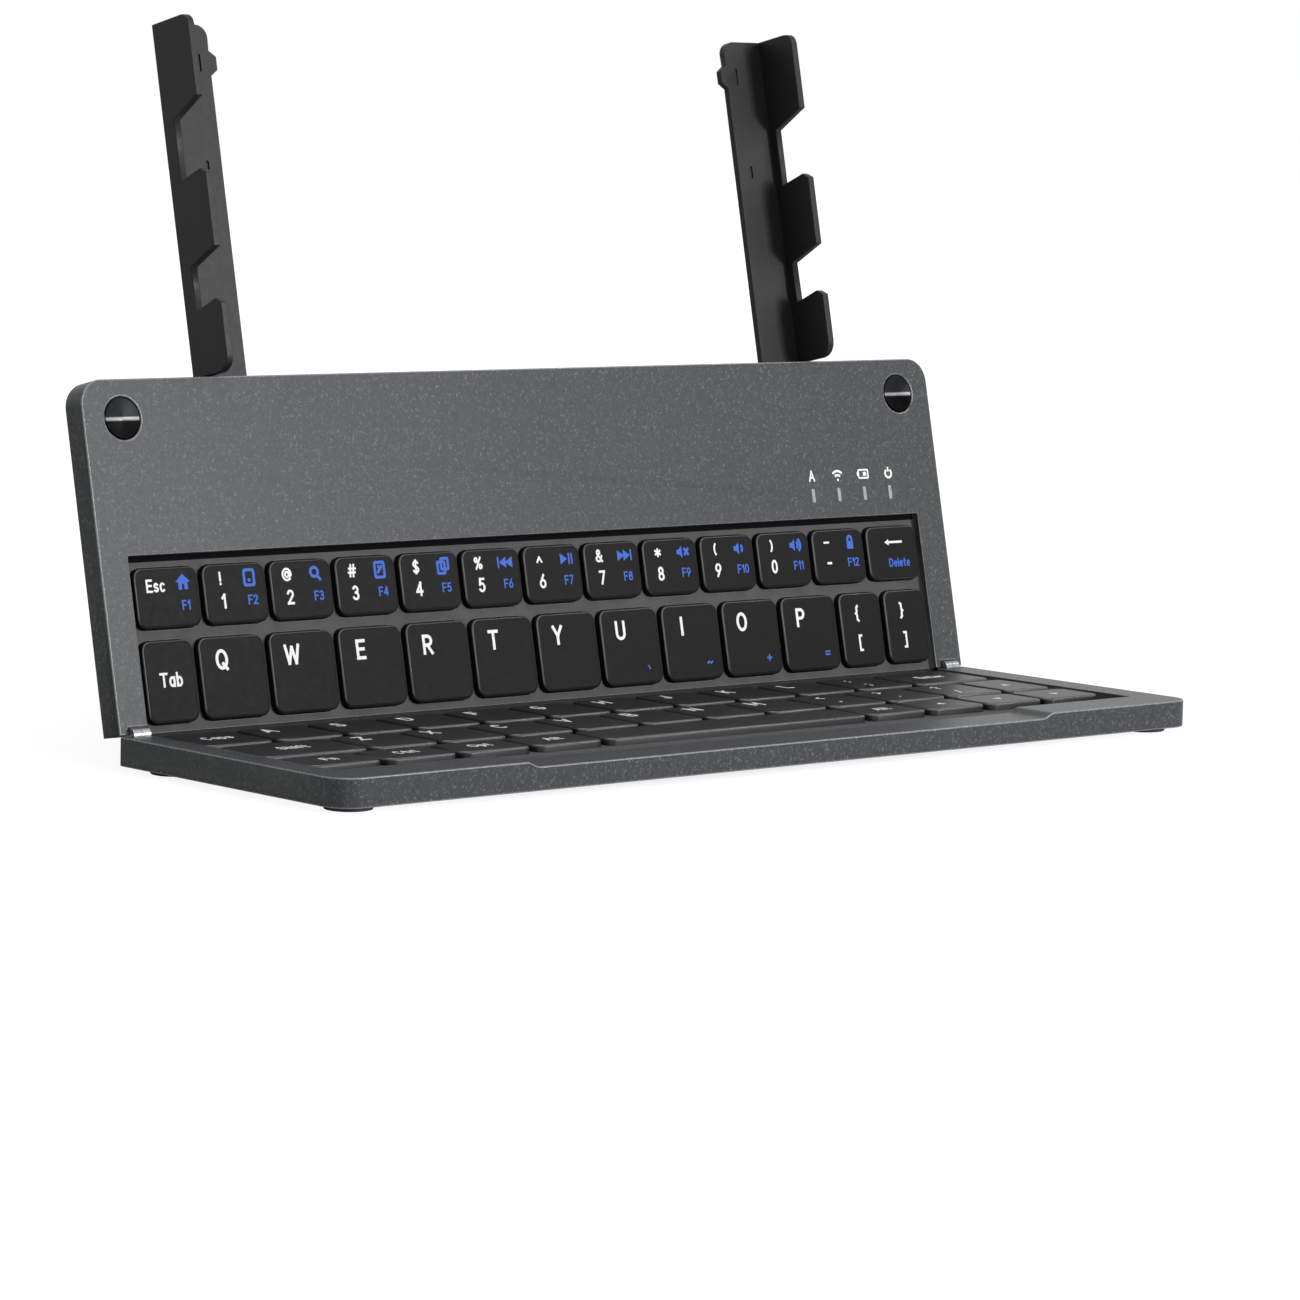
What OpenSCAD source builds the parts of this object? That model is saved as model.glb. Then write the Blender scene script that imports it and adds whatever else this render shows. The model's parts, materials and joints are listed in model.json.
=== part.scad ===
// Folding keyboard: two panels on a hinge, and two notched arms that swing up from
// behind the back panel to hold a tablet.
//
// Each panel is drawn flat, with x along the hinge, y away from it and the key face
// upward near z = 0, and on_front_panel() and on_back_panel() put it in place.
// A depth is measured down from the hinge axis, which lies level with the key faces.

/* [Panels] */
// Width of both panels, along the hinge
body_w = 245; // [225:1:260]
// Depth of each panel, from the hinge line to its free edge
panel_d = 74.5; // [70:0.5:80]
// Thickness of each panel
panel_t = 6.2; // [6:0.1:7]
// Corner radius at a panel's free edge
corner_r = 5.5; // [4:0.5:9]
// Thickness of the base covers
cover_t = 1.1; // [0.9:0.1:1.3]
// Width of the frame's rim round a base cover
rim_w = 1.3; // [1:0.1:1.6]
// Thickness of the skin over the back panel's electronics
skin_t = 1.5; // [1.2:0.1:1.8]
// Lean of the back panel from upright
lean = 12.5; // [0:0.5:40]

/* [Key recess] */
// Frame left of the key recess
recess_left = 7.2; // [7:0.1:8]
// Frame right of the key recess
recess_right = 8.5; // [7:0.1:9]
// Recess beyond the back panel's number row
back_recess_gap = 2.7; // [2:0.1:4]
// Width of the front panel's frame beyond its recess
front_rim = 11.5; // [11:0.1:14]
// Distance from the front panel's last row of keys to its free edge
front_lip = 20; // [19:0.5:24]
// Depth by which the middle of the front lip is cut down
lip_drop = 1.2; // [0.5:0.1:1.6]
// Left end of the cut in the front lip, from the panel's middle
lip_left = -75.5; // [-90:0.5:-60]
// Right end of the cut in the front lip, from the panel's middle
lip_right = 77.5; // [60:0.5:90]
// Length of the slope at each end of that cut
lip_slope = 4; // [2:0.5:6]

/* [Keys] */
// Frame and gap left of the first key in each row
key_margin = 8.2; // [7.8:0.1:9]
// Frame and gap right of the last key in each row
right_margin = 9.6; // [9:0.1:11]
// Gap between neighbouring letter keys
key_gap = 1.4; // [1.2:0.1:1.6]
// Gap between neighbouring number keys
number_gap = 1.2; // [1:0.1:1.6]
// Length of a key in the number row and in the bottom row
short_key_l = 12.8; // [12:0.1:13]
// Gap between two rows
row_gap = 2.5; // [2:0.1:2.6]
// Distance from the hinge line to the first row
first_row = 1.9; // [1.8:0.1:2.2]
// Width of the tab key
tab_w = 13; // [11:0.1:15]
// Width of each bracket key
bracket_w = 13.2; // [11:0.1:15]
// Width of the caps lock key
caps_w = 17.6; // [15:0.1:20]
// Width of the left shift key
left_shift_w = 26.8; // [24:0.1:28]
// Width of each key left of the space bar
left_mod_w = 18.2; // [16:0.1:19]
// Width of each key right of the space bar
right_mod_w = 17; // [16:0.1:18]
// Depth of the key tops below the hinge axis
key_top = 0.3; // [0.2:0.1:0.6]
// Width and height of the bevel round a key's top
key_bevel = 0.8; // [0.3:0.1:0.9]
// Corner radius of the keys
key_r = 2.2; // [1.4:0.1:2.6]
// Travel of a key
key_travel = 1.2; // [0.8:0.1:1.3]
// Thickness of the web between the keys
web_t = 0.6; // [0.5:0.1:1]

/* [Hinge] */
// Outer radius of the hinge knuckles
knuckle_r = 1.6; // [1.4:0.1:1.8]
// Radius of the hinge pins
hinge_pin_r = 0.8; // [0.6:0.1:0.9]
// Length of one knuckle
knuckle_l = 2.1; // [1.5:0.1:2.1]
// Distance from a panel's end to its outer knuckle
knuckle_inset = 2.4; // [1.5:0.1:2.4]
// Depth of a leaf's top face
leaf_top = 1.1; // [1:0.1:1.2]
// Thickness of a leaf
leaf_t = 0.8; // [0.5:0.1:1]
// Distance that a leaf reaches from the hinge line
leaf_reach = 6; // [4:0.5:6.5]

/* [Arms] */
// Distance from the panel's end to each arm's pivot
pivot_side = 40.9; // [38:0.1:44]
// Distance from the back panel's free edge to the pivots
pivot_inset = 4; // [3.6:0.1:4.2]
// Width of an arm
arm_w = 13.2; // [12.8:0.1:14]
// Thickness of an arm's plate
arm_plate_t = 1.7; // [1.5:0.1:1.8]
// Thickness of an arm's flange
arm_flange_t = 1.8; // [1.4:0.1:1.8]
// Height of the flange from the arm's back to the top of its teeth
arm_depth = 13; // [12:0.1:13.4]
// Height of the flange that is left in a notch
notch_floor = 4; // [3:0.1:5]
// Gap between the two stowed arms
tip_gap = 1; // [0.6:0.1:3]
// Radius of an arm's neck round its pivot
neck_r = 4.6; // [4.3:0.1:5]
// Radius of the pivot rivets
rivet_r = 2; // [1.5:0.1:2]

/* [Electronics] */
// Distance from the far screws to the middle of the charging socket
port_gap = 7.7; // [7:0.1:8.5]
// Depth of the middle of the charging socket
port_depth = 3.4; // [3.3:0.05:3.4]
// Distance from the back recess to the switch window's near edge
switch_gap = 4.9; // [4:0.1:6]
// Length of the switch window
switch_l = 5.1; // [4.8:0.1:6]
// Travel of the power switch
switch_travel = 2.2; // [1.5:0.1:2.2]
// Distance from the back recess to the indicator lights
light_gap = 5.4; // [5:0.1:7]
// Distance from the panel's end to the nearest indicator light
light_inset = 16.5; // [15:0.1:19]
// Spacing of the indicator lights
light_pitch = 8.3; // [7:0.1:8.5]

/* [Magnets and feet] */
// Distance from a panel's end to its magnet
magnet_inset = 10; // [9:0.1:12]
// Radius of the magnets in the back panel
magnet_r = 4.6; // [3.5:0.1:4.6]
// Thickness of the magnets
magnet_t = 1.5; // [1:0.1:1.5]
// Radius of the feet
foot_r = 5; // [4.8:0.1:5.5]
// Height of the feet
foot_h = 1.2; // [1.2:0.1:2]
// Distance from the middles of the feet to the panel's ends and edges
foot_inset = 8; // [7:0.5:9]

/* [Hidden] */
$fn = 48;

NUMBER_KEYS = ["key_esc", "key_1", "key_2", "key_3", "key_4", "key_5", "key_6",
    "key_7", "key_8", "key_9", "key_0", "key_minus", "key_delete"];
LETTER_KEYS = ["key_tab", "key_q", "key_w", "key_e", "key_r", "key_t", "key_y",
    "key_u", "key_i", "key_o", "key_p", "key_open_bracket", "key_close_bracket"];

// Clearances.
face_gap = 0.05;       // the key faces stop this far from the hinge axis's plane
hinge_gap = 0.15;      // the panels' ends stop this far from the hinge axis
knuckle_gap = 0.1;     // between the two knuckles of a hinge
pin_play = 0.05;       // radial, between a turning part and its pin
fit_gap = 0.02;        // round a part that is held in a pocket
key_play = 0.05;       // between a key's flange and the web that stops it
window_gap = 0.2;      // round a key in its window
pocket_gap = 0.1;      // between an arm's plate and the floor of its pocket
floor_gap = 0.2;       // between a flat open panel's arms and the table
sheet_gap = 0.1;       // round the boards and the dome sheets

// Rows along the hinge, and the letter keys' width.
row_w = body_w - key_margin - right_margin;
key_w = (row_w - 12 * key_gap - tab_w - 2 * bracket_w) / 10;
half_w = body_w / 2;
magnet_x = half_w - magnet_inset;

// Depths of the layers in a panel.
cover_top = panel_t - cover_t;
board_t = 0.6;
dome_t = 0.3;
board_top = cover_top - board_t;
sheet_top = board_top - dome_t;
flange_bottom = sheet_top - key_travel - 0.1;
flange_t = 0.35;
web_bottom = flange_bottom - flange_t - key_play;
web_top = web_bottom - web_t;
flange_lap = 0.4;
key_wall = 1.2;
dome_h = 1.1;
end_wall = 0.9;

// Rows of keys: the near edge, the length, the gap between keys and their widths.
number_w = (row_w - 12 * number_gap) / 13;
enter_w = row_w - 11 * key_gap - caps_w - 10 * key_w;
right_shift_w = row_w - 11 * key_gap - left_shift_w - 10 * key_w;
space_w = row_w - 8 * key_gap - 4 * left_mod_w - 4 * right_mod_w;
ten_letters = [for (i = [1 : 10]) key_w];
key_l = (panel_d - front_lip - short_key_l - first_row) / 2 - row_gap;
second_row = first_row + key_l + row_gap;
third_row = second_row + key_l + row_gap;
letter_row = [first_row, key_l, key_gap, concat([tab_w], ten_letters, [bracket_w, bracket_w])];
number_row = [second_row, short_key_l, number_gap, [for (i = [1 : 13]) number_w]];
home_row = [first_row, key_l, key_gap, concat([caps_w], ten_letters, [enter_w])];
shift_row = [second_row, key_l, key_gap,
    concat([left_shift_w], ten_letters, [right_shift_w])];
bottom_row = [third_row, short_key_l, key_gap, concat([for (i = [1 : 4]) left_mod_w],
    [space_w], [for (i = [1 : 4]) right_mod_w])];
back_rows = [letter_row, number_row];
front_rows = [home_row, shift_row, bottom_row];

// The recesses' far edges, and the magnets beyond the front one.
front_recess = panel_d - front_rim;
back_recess = second_row + short_key_l + back_recess_gap;
front_magnet_r = 3;
magnet_y = front_recess + front_magnet_r + 0.2;

// The arms: the plate lies in a pocket of the rear cover, just above the table when the
// keyboard is open flat, and the flange stands outside the panel's free edge.
pivot_x = half_w - pivot_side;
pivot_y = panel_d - pivot_inset;
arm_len = pivot_x - tip_gap / 2;
arm_back = panel_t + foot_h - floor_gap;
arm_front = arm_back - arm_plate_t;
pocket_floor = arm_front - pocket_gap;
flange_start = pivot_inset + 0.4;
tooth_top = arm_depth - arm_back;
notch_z = notch_floor - arm_back;
tooth_hook = 1.9;
heel_r = 3.6;
toe_r = 2.4;
head_r = 3.2;
head_t = 0.5;
inner_head_r = 2.6;
inner_head_t = 0.5;
pad_t = 1.2;
pad_top = pocket_floor - pad_t;
pocket_side = pivot_x + neck_r + 0.3;
pocket_near = pivot_y - arm_w / 2 - 0.25;
nub_start = arm_len - 11.1;
nub_l = 5.5;
nub_out = 1.8;
nub_slope = 1.3;
scoop_side = tip_gap / 2 + arm_len - nub_start + 2.4;
scoop_near = pocket_near - nub_out - 0.3;
pad_near = scoop_near - 0.5;

// Screws, which the feet cover.
screw_x = half_w - 5.3;
screw_near = 9;
screw_far = panel_d - 9;
screw_r = 0.9;
screw_head_r = 1.7;
screw_head_t = 0.6;
screw_tip = 2.4;

// The back panel's hollow and what it holds.
port_y = screw_far - port_gap;
switch_y = back_recess + switch_gap;
light_y = back_recess + light_gap;
hollow_inset = 14.5;
hollow_near = back_recess + 1.2;
hollow_mid = port_y + 2.2;
hollow_far = panel_d - 1.2;
hollow_side = half_w - hollow_inset;
hollow_top_side = pocket_side + 5;
port_w = 8.94;
port_h = 3.26;
port_l = 6.3;
port_mouth_w = 10.8;
port_mouth_h = 4.4;
port_wall = 0.3;
tongue = [5.3, 6.6, 0.7];
port_inner = half_w - rim_w - port_l;
main_board_t = 1;
main_board_top = cover_top - main_board_t;
main_board_l = 87.7;
main_board_right = hollow_side - 0.3;
main_board_left = main_board_right - main_board_l;
main_board_gap = 3.7;
main_board_near = back_recess + main_board_gap;
main_board_far = hollow_mid - 1;
port_tab_w = 8.6;
tab_near = port_y - port_tab_w / 2;
chip_t = 1;
// Each chip's place on the main board, its width and its length.
chips = [[12, 6, 10, 10], [30, 5, 16, 11], [54, 8, 6, 6], [68, 9, 10, 7]];
battery_l = 88;
battery_t = 3;
battery_inset = 8;
battery_left = -hollow_side + battery_inset;
light_x = half_w - light_inset;
light_w = 1.1;
light_l = 3.4;
switch_h = 1.8;
switch_depth = 3.5;
slider_gap = 0.2;
slider_l = switch_l - switch_travel - 2 * slider_gap;

ribbon_w = 12;
ribbon_inset = 20;
ribbon_left = main_board_left + ribbon_inset;
ribbon_right = ribbon_left + ribbon_w;
inner_knuckle = knuckle_inset + knuckle_l + knuckle_gap;

// The hinge line stands over the middle of the whole keyboard's depth by this much.
face_z = panel_t + foot_h;
tip_back_y = (pivot_y + arm_len) * sin(lean) + arm_back * cos(lean);
hinge_y = (panel_d - tip_back_y) / 2;

// Colours.
metal_grey = [0.38, 0.4, 0.41];
cover_grey = [0.55, 0.56, 0.57];
key_black = [0.13, 0.13, 0.14];
arm_black = [0.07, 0.07, 0.08];
steel = [0.75, 0.76, 0.78];
board_green = [0.1, 0.35, 0.2];

// --- Places and helpers ---

module on_back_panel() {
    translate([0, hinge_y, face_z]) rotate([90 - lean, 0, 0]) children();
}

module on_front_panel() {
    translate([0, hinge_y, face_z]) mirror([0, 1, 0]) children();
}

// Draws its children at the right-hand end and, mirrored, at the left-hand end.
module both_ends() {
    children();
    mirror([1, 0, 0]) children();
}

// A flat outline made into a plate between two depths.
module plate(top, bottom) {
    translate([0, 0, -bottom]) linear_extrude(bottom - top) children();
}

// A rectangle from its left, near, right and far edges.
module area(left, near, right, far) {
    translate([left, near]) square([right - left, far - near]);
}

// A panel's outline, drawn in by an inset, with round corners at the free edge.
module panel_outline(inset = 0, near = hinge_gap) {
    side = half_w - inset;
    far = panel_d - inset;
    r = corner_r - inset;
    area(-side, near, side, far - r);
    area(-side + r, near, side - r, far);
    for (x = [-side + r, side - r]) translate([x, far - r]) circle(r);
}

// A slot with round ends, lying along y.
module slot(length, width) {
    straight = length - width;
    area(-width / 2, -straight / 2, width / 2, straight / 2);
    for (y = [-straight / 2, straight / 2]) translate([0, y]) circle(width / 2);
}

// --- Keys ---

function total(values, count) =
    count == 0 ? 0 : values[count - 1] + total(values, count - 1);

function key_x(row, i) = -half_w + key_margin + total(row[3], i) + i * row[2];

// The outline of key i of a row, grown by x_grow and y_grow, with corners of radius r.
module key_outline(row, i, x_grow = 0, y_grow = 0, r = 0) {
    x0 = key_x(row, i) - x_grow + r;
    x1 = key_x(row, i) + row[3][i] + x_grow - r;
    y0 = row[0] - y_grow + r;
    y1 = row[0] + row[1] + y_grow - r;
    polygon([for (c = [[x1, y1, 0], [x0, y1, 90], [x0, y0, 180], [x1, y0, 270]],
        a = [0 : 30 : 90]) [c[0] + r * cos(c[2] + a), c[1] + r * sin(c[2] + a)]]);
}

// A hollow key cap with a bevelled top and a flange that the web holds down.
module key(row, i) {
    color(key_black) difference() {
        union() {
            hull() {
                plate(key_top, key_top + 0.01)
                    key_outline(row, i, -key_bevel, -key_bevel, key_r - key_bevel);
                plate(key_top + key_bevel, key_top + key_bevel + 0.01)
                    key_outline(row, i, 0, 0, key_r);
            }
            plate(key_top + key_bevel, flange_bottom) key_outline(row, i, 0, 0, key_r);
            plate(flange_bottom - flange_t, flange_bottom)
                key_outline(row, i, 0, window_gap + flange_lap, 0.3);
        }
        plate(key_top + key_wall, flange_bottom + 1)
            key_outline(row, i, -key_wall, -key_wall, 0.5);
    }
}

module keys(row, first, last) {
    for (i = [first : last]) key(row, i);
}

module key_windows(rows) {
    for (row = rows, i = [0 : len(row[3]) - 1])
        key_outline(row, i, window_gap, window_gap, key_r + window_gap);
}

// --- Both panels ---

module recess_area(far, near = -1, inset = 0) {
    area(-half_w + recess_left + inset, near, half_w - recess_right - inset, far - inset);
}

// The pockets of the hinge leaf whose knuckle starts at an inset from the panel's end.
module leaf_pocket(inset) {
    x0 = half_w - inset - knuckle_l;
    plate(leaf_top - fit_gap, leaf_top + leaf_t + fit_gap)
        area(x0 - fit_gap, 0, x0 + knuckle_l + fit_gap, leaf_reach + fit_gap);
}

// The room for both knuckles of a hinge.
module knuckle_room() {
    length = 2 * knuckle_l + 3 * knuckle_gap;
    translate([half_w - knuckle_inset - length + knuckle_gap, 0, 0])
        rotate([0, 90, 0]) cylinder(r = knuckle_r + 0.15, h = length);
}

module screw_places() {
    both_ends() for (y = [screw_near, screw_far]) translate([screw_x, y]) children();
}

// A panel's frame, with its key recess, windows, hollow and cover seat.
module frame_body(recess_far, rows, leaf_inset) {
    difference() {
        plate(face_gap, panel_t) panel_outline();
        plate(-1, web_top) recess_area(recess_far);
        plate(web_top - 0.1, web_bottom + 0.1) key_windows(rows);
        plate(web_bottom, cover_top + 0.1) recess_area(recess_far, end_wall);
        plate(cover_top, panel_t + 1) panel_outline(rim_w, end_wall);
        plate(screw_tip, cover_top + 0.1) screw_places() circle(screw_r + fit_gap);
        both_ends() {
            knuckle_room();
            leaf_pocket(leaf_inset);
        }
    }
}

module cover_body() {
    difference() {
        plate(cover_top, panel_t) panel_outline(rim_w + fit_gap, end_wall + fit_gap);
        plate(cover_top - 0.1, panel_t + 0.1) screw_places() circle(screw_r + 0.1);
        plate(panel_t - screw_head_t, panel_t + 0.1)
            screw_places() circle(screw_head_r + 0.1);
    }
}

module key_board(recess_far) {
    color(board_green) plate(board_top, cover_top)
        recess_area(recess_far, end_wall + sheet_gap, sheet_gap);
}

module dome_sheet(recess_far, rows) {
    color([0.8, 0.82, 0.85]) {
        plate(sheet_top, board_top) recess_area(recess_far, end_wall + sheet_gap, sheet_gap);
        for (row = rows, i = [0 : len(row[3]) - 1])
            translate([key_x(row, i) + row[3][i] / 2, row[0] + row[1] / 2, -sheet_top])
                cylinder(r1 = 2.8, r2 = 1.6, h = dome_h);
    }
}

module feet() {
    color([0.45, 0.45, 0.46]) plate(panel_t, panel_t + foot_h) both_ends()
        for (y = [foot_inset, panel_d - foot_inset])
            translate([half_w - foot_inset, y]) circle(foot_r);
}

module screws() {
    color(steel) {
        plate(screw_tip, panel_t) screw_places() circle(screw_r);
        plate(panel_t - screw_head_t, panel_t) screw_places() circle(screw_head_r);
    }
}

// A knuckle with a leaf that reaches into the panel.
module hinge_leaf(inset, bore_r) {
    color(steel) translate([half_w - inset - knuckle_l, 0, 0]) difference() {
        union() {
            rotate([0, 90, 0]) cylinder(r = knuckle_r, h = knuckle_l);
            plate(leaf_top, leaf_top + leaf_t) area(0, end_wall, knuckle_l, leaf_reach);
        }
        translate([-1, 0, 0]) rotate([0, 90, 0]) cylinder(r = bore_r, h = knuckle_l + 2);
    }
}

// --- Front panel ---

// The cut in the front lip, seen from the front, with a smooth slope at each end.
module lip_cut() {
    slope = [for (t = [0 : 0.125 : 1]) [lip_slope * t, -lip_drop * (1 - cos(180 * t)) / 2]];
    polygon(concat([[lip_left, 1]], [for (p = slope) [lip_left + p[0], p[1]]],
        [for (i = [8 : -1 : 0]) [lip_right - slope[i][0], slope[i][1]]], [[lip_right, 1]]));
}

module front_frame() {
    color(metal_grey) on_front_panel() difference() {
        frame_body(front_recess, front_rows, knuckle_inset);
        translate([0, panel_d + 1, 0]) rotate([90, 0, 0])
            linear_extrude(front_rim + 1.1) lip_cut();
        plate(lip_drop - 0.4, cover_top + 0.1)
            both_ends() translate([magnet_x, magnet_y]) circle(front_magnet_r + fit_gap);
    }
}

module front_base_cover() {
    color(cover_grey) on_front_panel() cover_body();
}

module front_key_board() {
    on_front_panel() key_board(front_recess);
}

module front_dome_sheet() {
    on_front_panel() dome_sheet(front_recess, front_rows);
}

module front_feet() {
    on_front_panel() feet();
}

module front_screws() {
    on_front_panel() screws();
}

module front_magnets() {
    color(steel) on_front_panel() plate(lip_drop - 0.4, cover_top)
        both_ends() translate([magnet_x, magnet_y]) circle(front_magnet_r);
}

module front_hinge_leaves() {
    on_front_panel() both_ends() hinge_leaf(knuckle_inset, hinge_pin_r);
}

module hinge_pins() {
    length = 2 * knuckle_l + knuckle_gap;
    color(steel) on_front_panel() both_ends()
        translate([half_w - knuckle_inset - length, 0, 0])
            rotate([0, 90, 0]) cylinder(r = hinge_pin_r, h = length);
}

module home_row_keys() {
    on_front_panel() keys(home_row, 0, 10);
}

module enter_key() {
    on_front_panel() key(home_row, 11);
}

module shift_row_keys() {
    on_front_panel() keys(shift_row, 0, 11);
}

module bottom_left_keys() {
    on_front_panel() keys(bottom_row, 0, 3);
}

module space_bar() {
    on_front_panel() key(bottom_row, 4);
}

module bottom_right_keys() {
    on_front_panel() keys(bottom_row, 5, 8);
}

// --- Back panel ---

// Outline of a slot with round ends, pushed into the right-hand end of the panel.
module end_slot(x0, x1, width, height) {
    translate([x0, port_y, -port_depth]) rotate([90, 0, 90])
        linear_extrude(x1 - x0) rotate(90) slot(width, height);
}

module light_places() {
    for (i = [0 : 3]) translate([light_x - i * light_pitch, light_y]) children();
}

module switch_window(top, bottom, x0, x1) {
    plate(top, bottom) area(x0, switch_y, x1, switch_y + switch_l);
}

// The shallow pocket across the rear for the stowed arms, with a scoop for fingers.
module arm_pocket() {
    plate(pocket_floor, panel_t + 1) {
        area(-pocket_side, pocket_near, pocket_side, panel_d + 1);
        area(-scoop_side, scoop_near, scoop_side, pocket_near + 0.1);
    }
}

module back_frame() {
    color(metal_grey) on_back_panel() difference() {
        frame_body(back_recess, back_rows, inner_knuckle);
        plate(skin_t, cover_top + 0.1) {
            area(-hollow_side, hollow_near, hollow_side, hollow_mid);
            area(-hollow_top_side, hollow_near, hollow_top_side, hollow_far);
            area(hollow_side - 1, tab_near - 0.3, port_inner + 0.1, hollow_mid);
        }
        plate(cover_top - 0.25, cover_top + 0.1)
            area(ribbon_left - 0.1, back_recess - 0.1, ribbon_right + 0.1, hollow_near + 0.1);
        plate(-1, magnet_t + fit_gap)
            both_ends() translate([magnet_x, magnet_y]) circle(magnet_r + fit_gap);
        plate(-1, skin_t + 0.1) light_places() slot(light_l, light_w);
        end_slot(port_inner, half_w - rim_w + 0.1, port_w + 2 * fit_gap, port_h + 2 * fit_gap);
        end_slot(half_w - rim_w, half_w + 1, port_mouth_w, port_mouth_h);
        switch_window(switch_depth - switch_h / 2, switch_depth + switch_h / 2,
            half_w - rim_w - 0.1, half_w + 1);
        plate(switch_depth - 1.5, cover_top + 0.1) switch_area(fit_gap);
        arm_pocket();
    }
}

module switch_area(grow = 0) {
    area(half_w - 5.8 - grow, switch_y - 0.7 - grow, half_w - rim_w + grow,
        switch_y + switch_l + 0.7 + grow);
}

module back_rear_cover() {
    color(cover_grey) on_back_panel() difference() {
        union() {
            cover_body();
            plate(pad_top, cover_top + 0.1)
                area(-pocket_side - 2, pad_near, pocket_side + 2, hollow_far - 0.2);
        }
        arm_pocket();
        plate(pad_top - 0.1, panel_t) both_ends() translate([pivot_x, pivot_y]) circle(rivet_r);
    }
}

module back_key_board() {
    on_back_panel() key_board(back_recess);
}

module back_dome_sheet() {
    on_back_panel() dome_sheet(back_recess, back_rows);
}

module ribbon_cable() {
    color([0.85, 0.5, 0.15]) on_back_panel() plate(cover_top - 0.2, cover_top)
        area(ribbon_left, back_recess - sheet_gap, ribbon_right, main_board_near);
}

// The circuit board, with a tab to the charging socket and its chips.
module main_board() {
    color(board_green) on_back_panel() {
        plate(main_board_top, cover_top) {
            area(main_board_left, main_board_near, main_board_right, main_board_far);
            area(main_board_right - 1, tab_near, port_inner, main_board_far);
        }
        plate(main_board_top - chip_t, main_board_top) for (c = chips)
            translate([main_board_left + c[0], main_board_near + c[1]]) square([c[2], c[3]]);
    }
}

module battery() {
    color([0.7, 0.71, 0.74]) on_back_panel()
        plate(cover_top - battery_t, cover_top)
            area(battery_left, hollow_near + 1, battery_left + battery_l, hollow_mid - 0.6);
}

module usb_c_socket() {
    color(steel) on_back_panel() difference() {
        end_slot(port_inner, half_w - rim_w, port_w, port_h);
        difference() {
            end_slot(port_inner + 1, half_w - rim_w + 1, port_w - 2 * port_wall,
                port_h - 2 * port_wall);
            translate([port_inner, port_y - tongue[1] / 2, -port_depth - tongue[2] / 2])
                cube(tongue);
        }
    }
}

module switch_housing() {
    color([0.2, 0.2, 0.22]) on_back_panel() plate(switch_depth - 1.5, cover_top) difference() {
        switch_area();
        area(half_w - rim_w - 0.9, switch_y, half_w, switch_y + switch_l);
    }
}

module switch_slider() {
    top = switch_depth - switch_h / 2 + 0.1;
    color(arm_black) on_back_panel() plate(top, switch_depth + switch_h / 2 - 0.1)
        area(half_w - rim_w - 0.9 + 0.05, switch_y + slider_gap,
            half_w - 0.3, switch_y + slider_gap + slider_l);
}

module light_pipes() {
    color([0.9, 0.93, 0.95]) on_back_panel() plate(face_gap + 0.05, main_board_top)
        light_places() slot(light_l - 0.1, light_w - 0.1);
}

module back_magnets() {
    color([0.5, 0.5, 0.52]) on_back_panel() plate(face_gap + 0.02, magnet_t)
        both_ends() translate([magnet_x, magnet_y]) circle(magnet_r);
}

module back_hinge_leaves() {
    on_back_panel() both_ends() hinge_leaf(inner_knuckle, hinge_pin_r + pin_play);
}

module back_feet() {
    on_back_panel() feet();
}

module back_screws() {
    on_back_panel() screws();
}

// A rivet per arm: its shaft is fast in the cover's pad and the arm turns on it.
module pivot_rivets() {
    head_top = arm_back - 0.6 + pin_play;
    color(steel) on_back_panel() both_ends() translate([pivot_x, pivot_y]) {
        plate(pad_top - inner_head_t, head_top + head_t) circle(rivet_r);
        plate(pad_top - inner_head_t, pad_top) circle(inner_head_r);
        plate(head_top, head_top + head_t) circle(head_r);
    }
}

module back_key(name) {
    for (i = [0 : 12]) {
        if (NUMBER_KEYS[i] == name) on_back_panel() key(number_row, i);
        if (LETTER_KEYS[i] == name) on_back_panel() key(letter_row, i);
    }
}

// --- Arms ---

// Each notch's near and far edges at its floor and then at its mouth, as shares of the
// arm's length.
notches = [[0.2281, 0.344, 0.2491, 0.3822], [0.5746, 0.7349, 0.5919, 0.7805]];

// Points round a corner of the flange, from one angle to another.
function rounding(x, y, r, from, to) =
    [for (i = [0 : 4]) let (a = from + (to - from) * i / 4) [x + r * cos(a), y + r * sin(a)]];

// The flange seen from its side: along the arm, and up from its back.
module flange_profile() {
    low = tooth_top - tooth_hook;
    teeth = [for (n = notches * arm_len) each [[n[2] - 1.2, tooth_top], [n[2], low],
        [n[0], notch_z], [n[1], notch_z], [n[3], tooth_top]]];
    heel = rounding(flange_start + heel_r, tooth_top - heel_r, heel_r, 180, 90);
    toe = rounding(arm_len - toe_r, tooth_top - toe_r, toe_r, 90, 0);
    polygon(concat([[flange_start, -arm_back]], heel, teeth, toe, [[arm_len, -arm_back]]));
}

// The left arm's plate, seen from the front: its flange is on the left.
module arm_plate_outline() {
    side = arm_w / 2;
    r = 3;
    area(-side, flange_start, side, arm_len - r);
    area(-side, flange_start, side - r, arm_len);
    translate([side - r, arm_len - r]) circle(r);
    area(-neck_r, 0, neck_r, flange_start + 1);
    circle(neck_r);
    polygon([[side - 1, nub_start], [side, nub_start], [side + nub_out, nub_start + nub_slope],
        [side + nub_out, nub_start + nub_l - nub_slope], [side, nub_start + nub_l],
        [side - 1, nub_start + nub_l]]);
}

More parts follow.
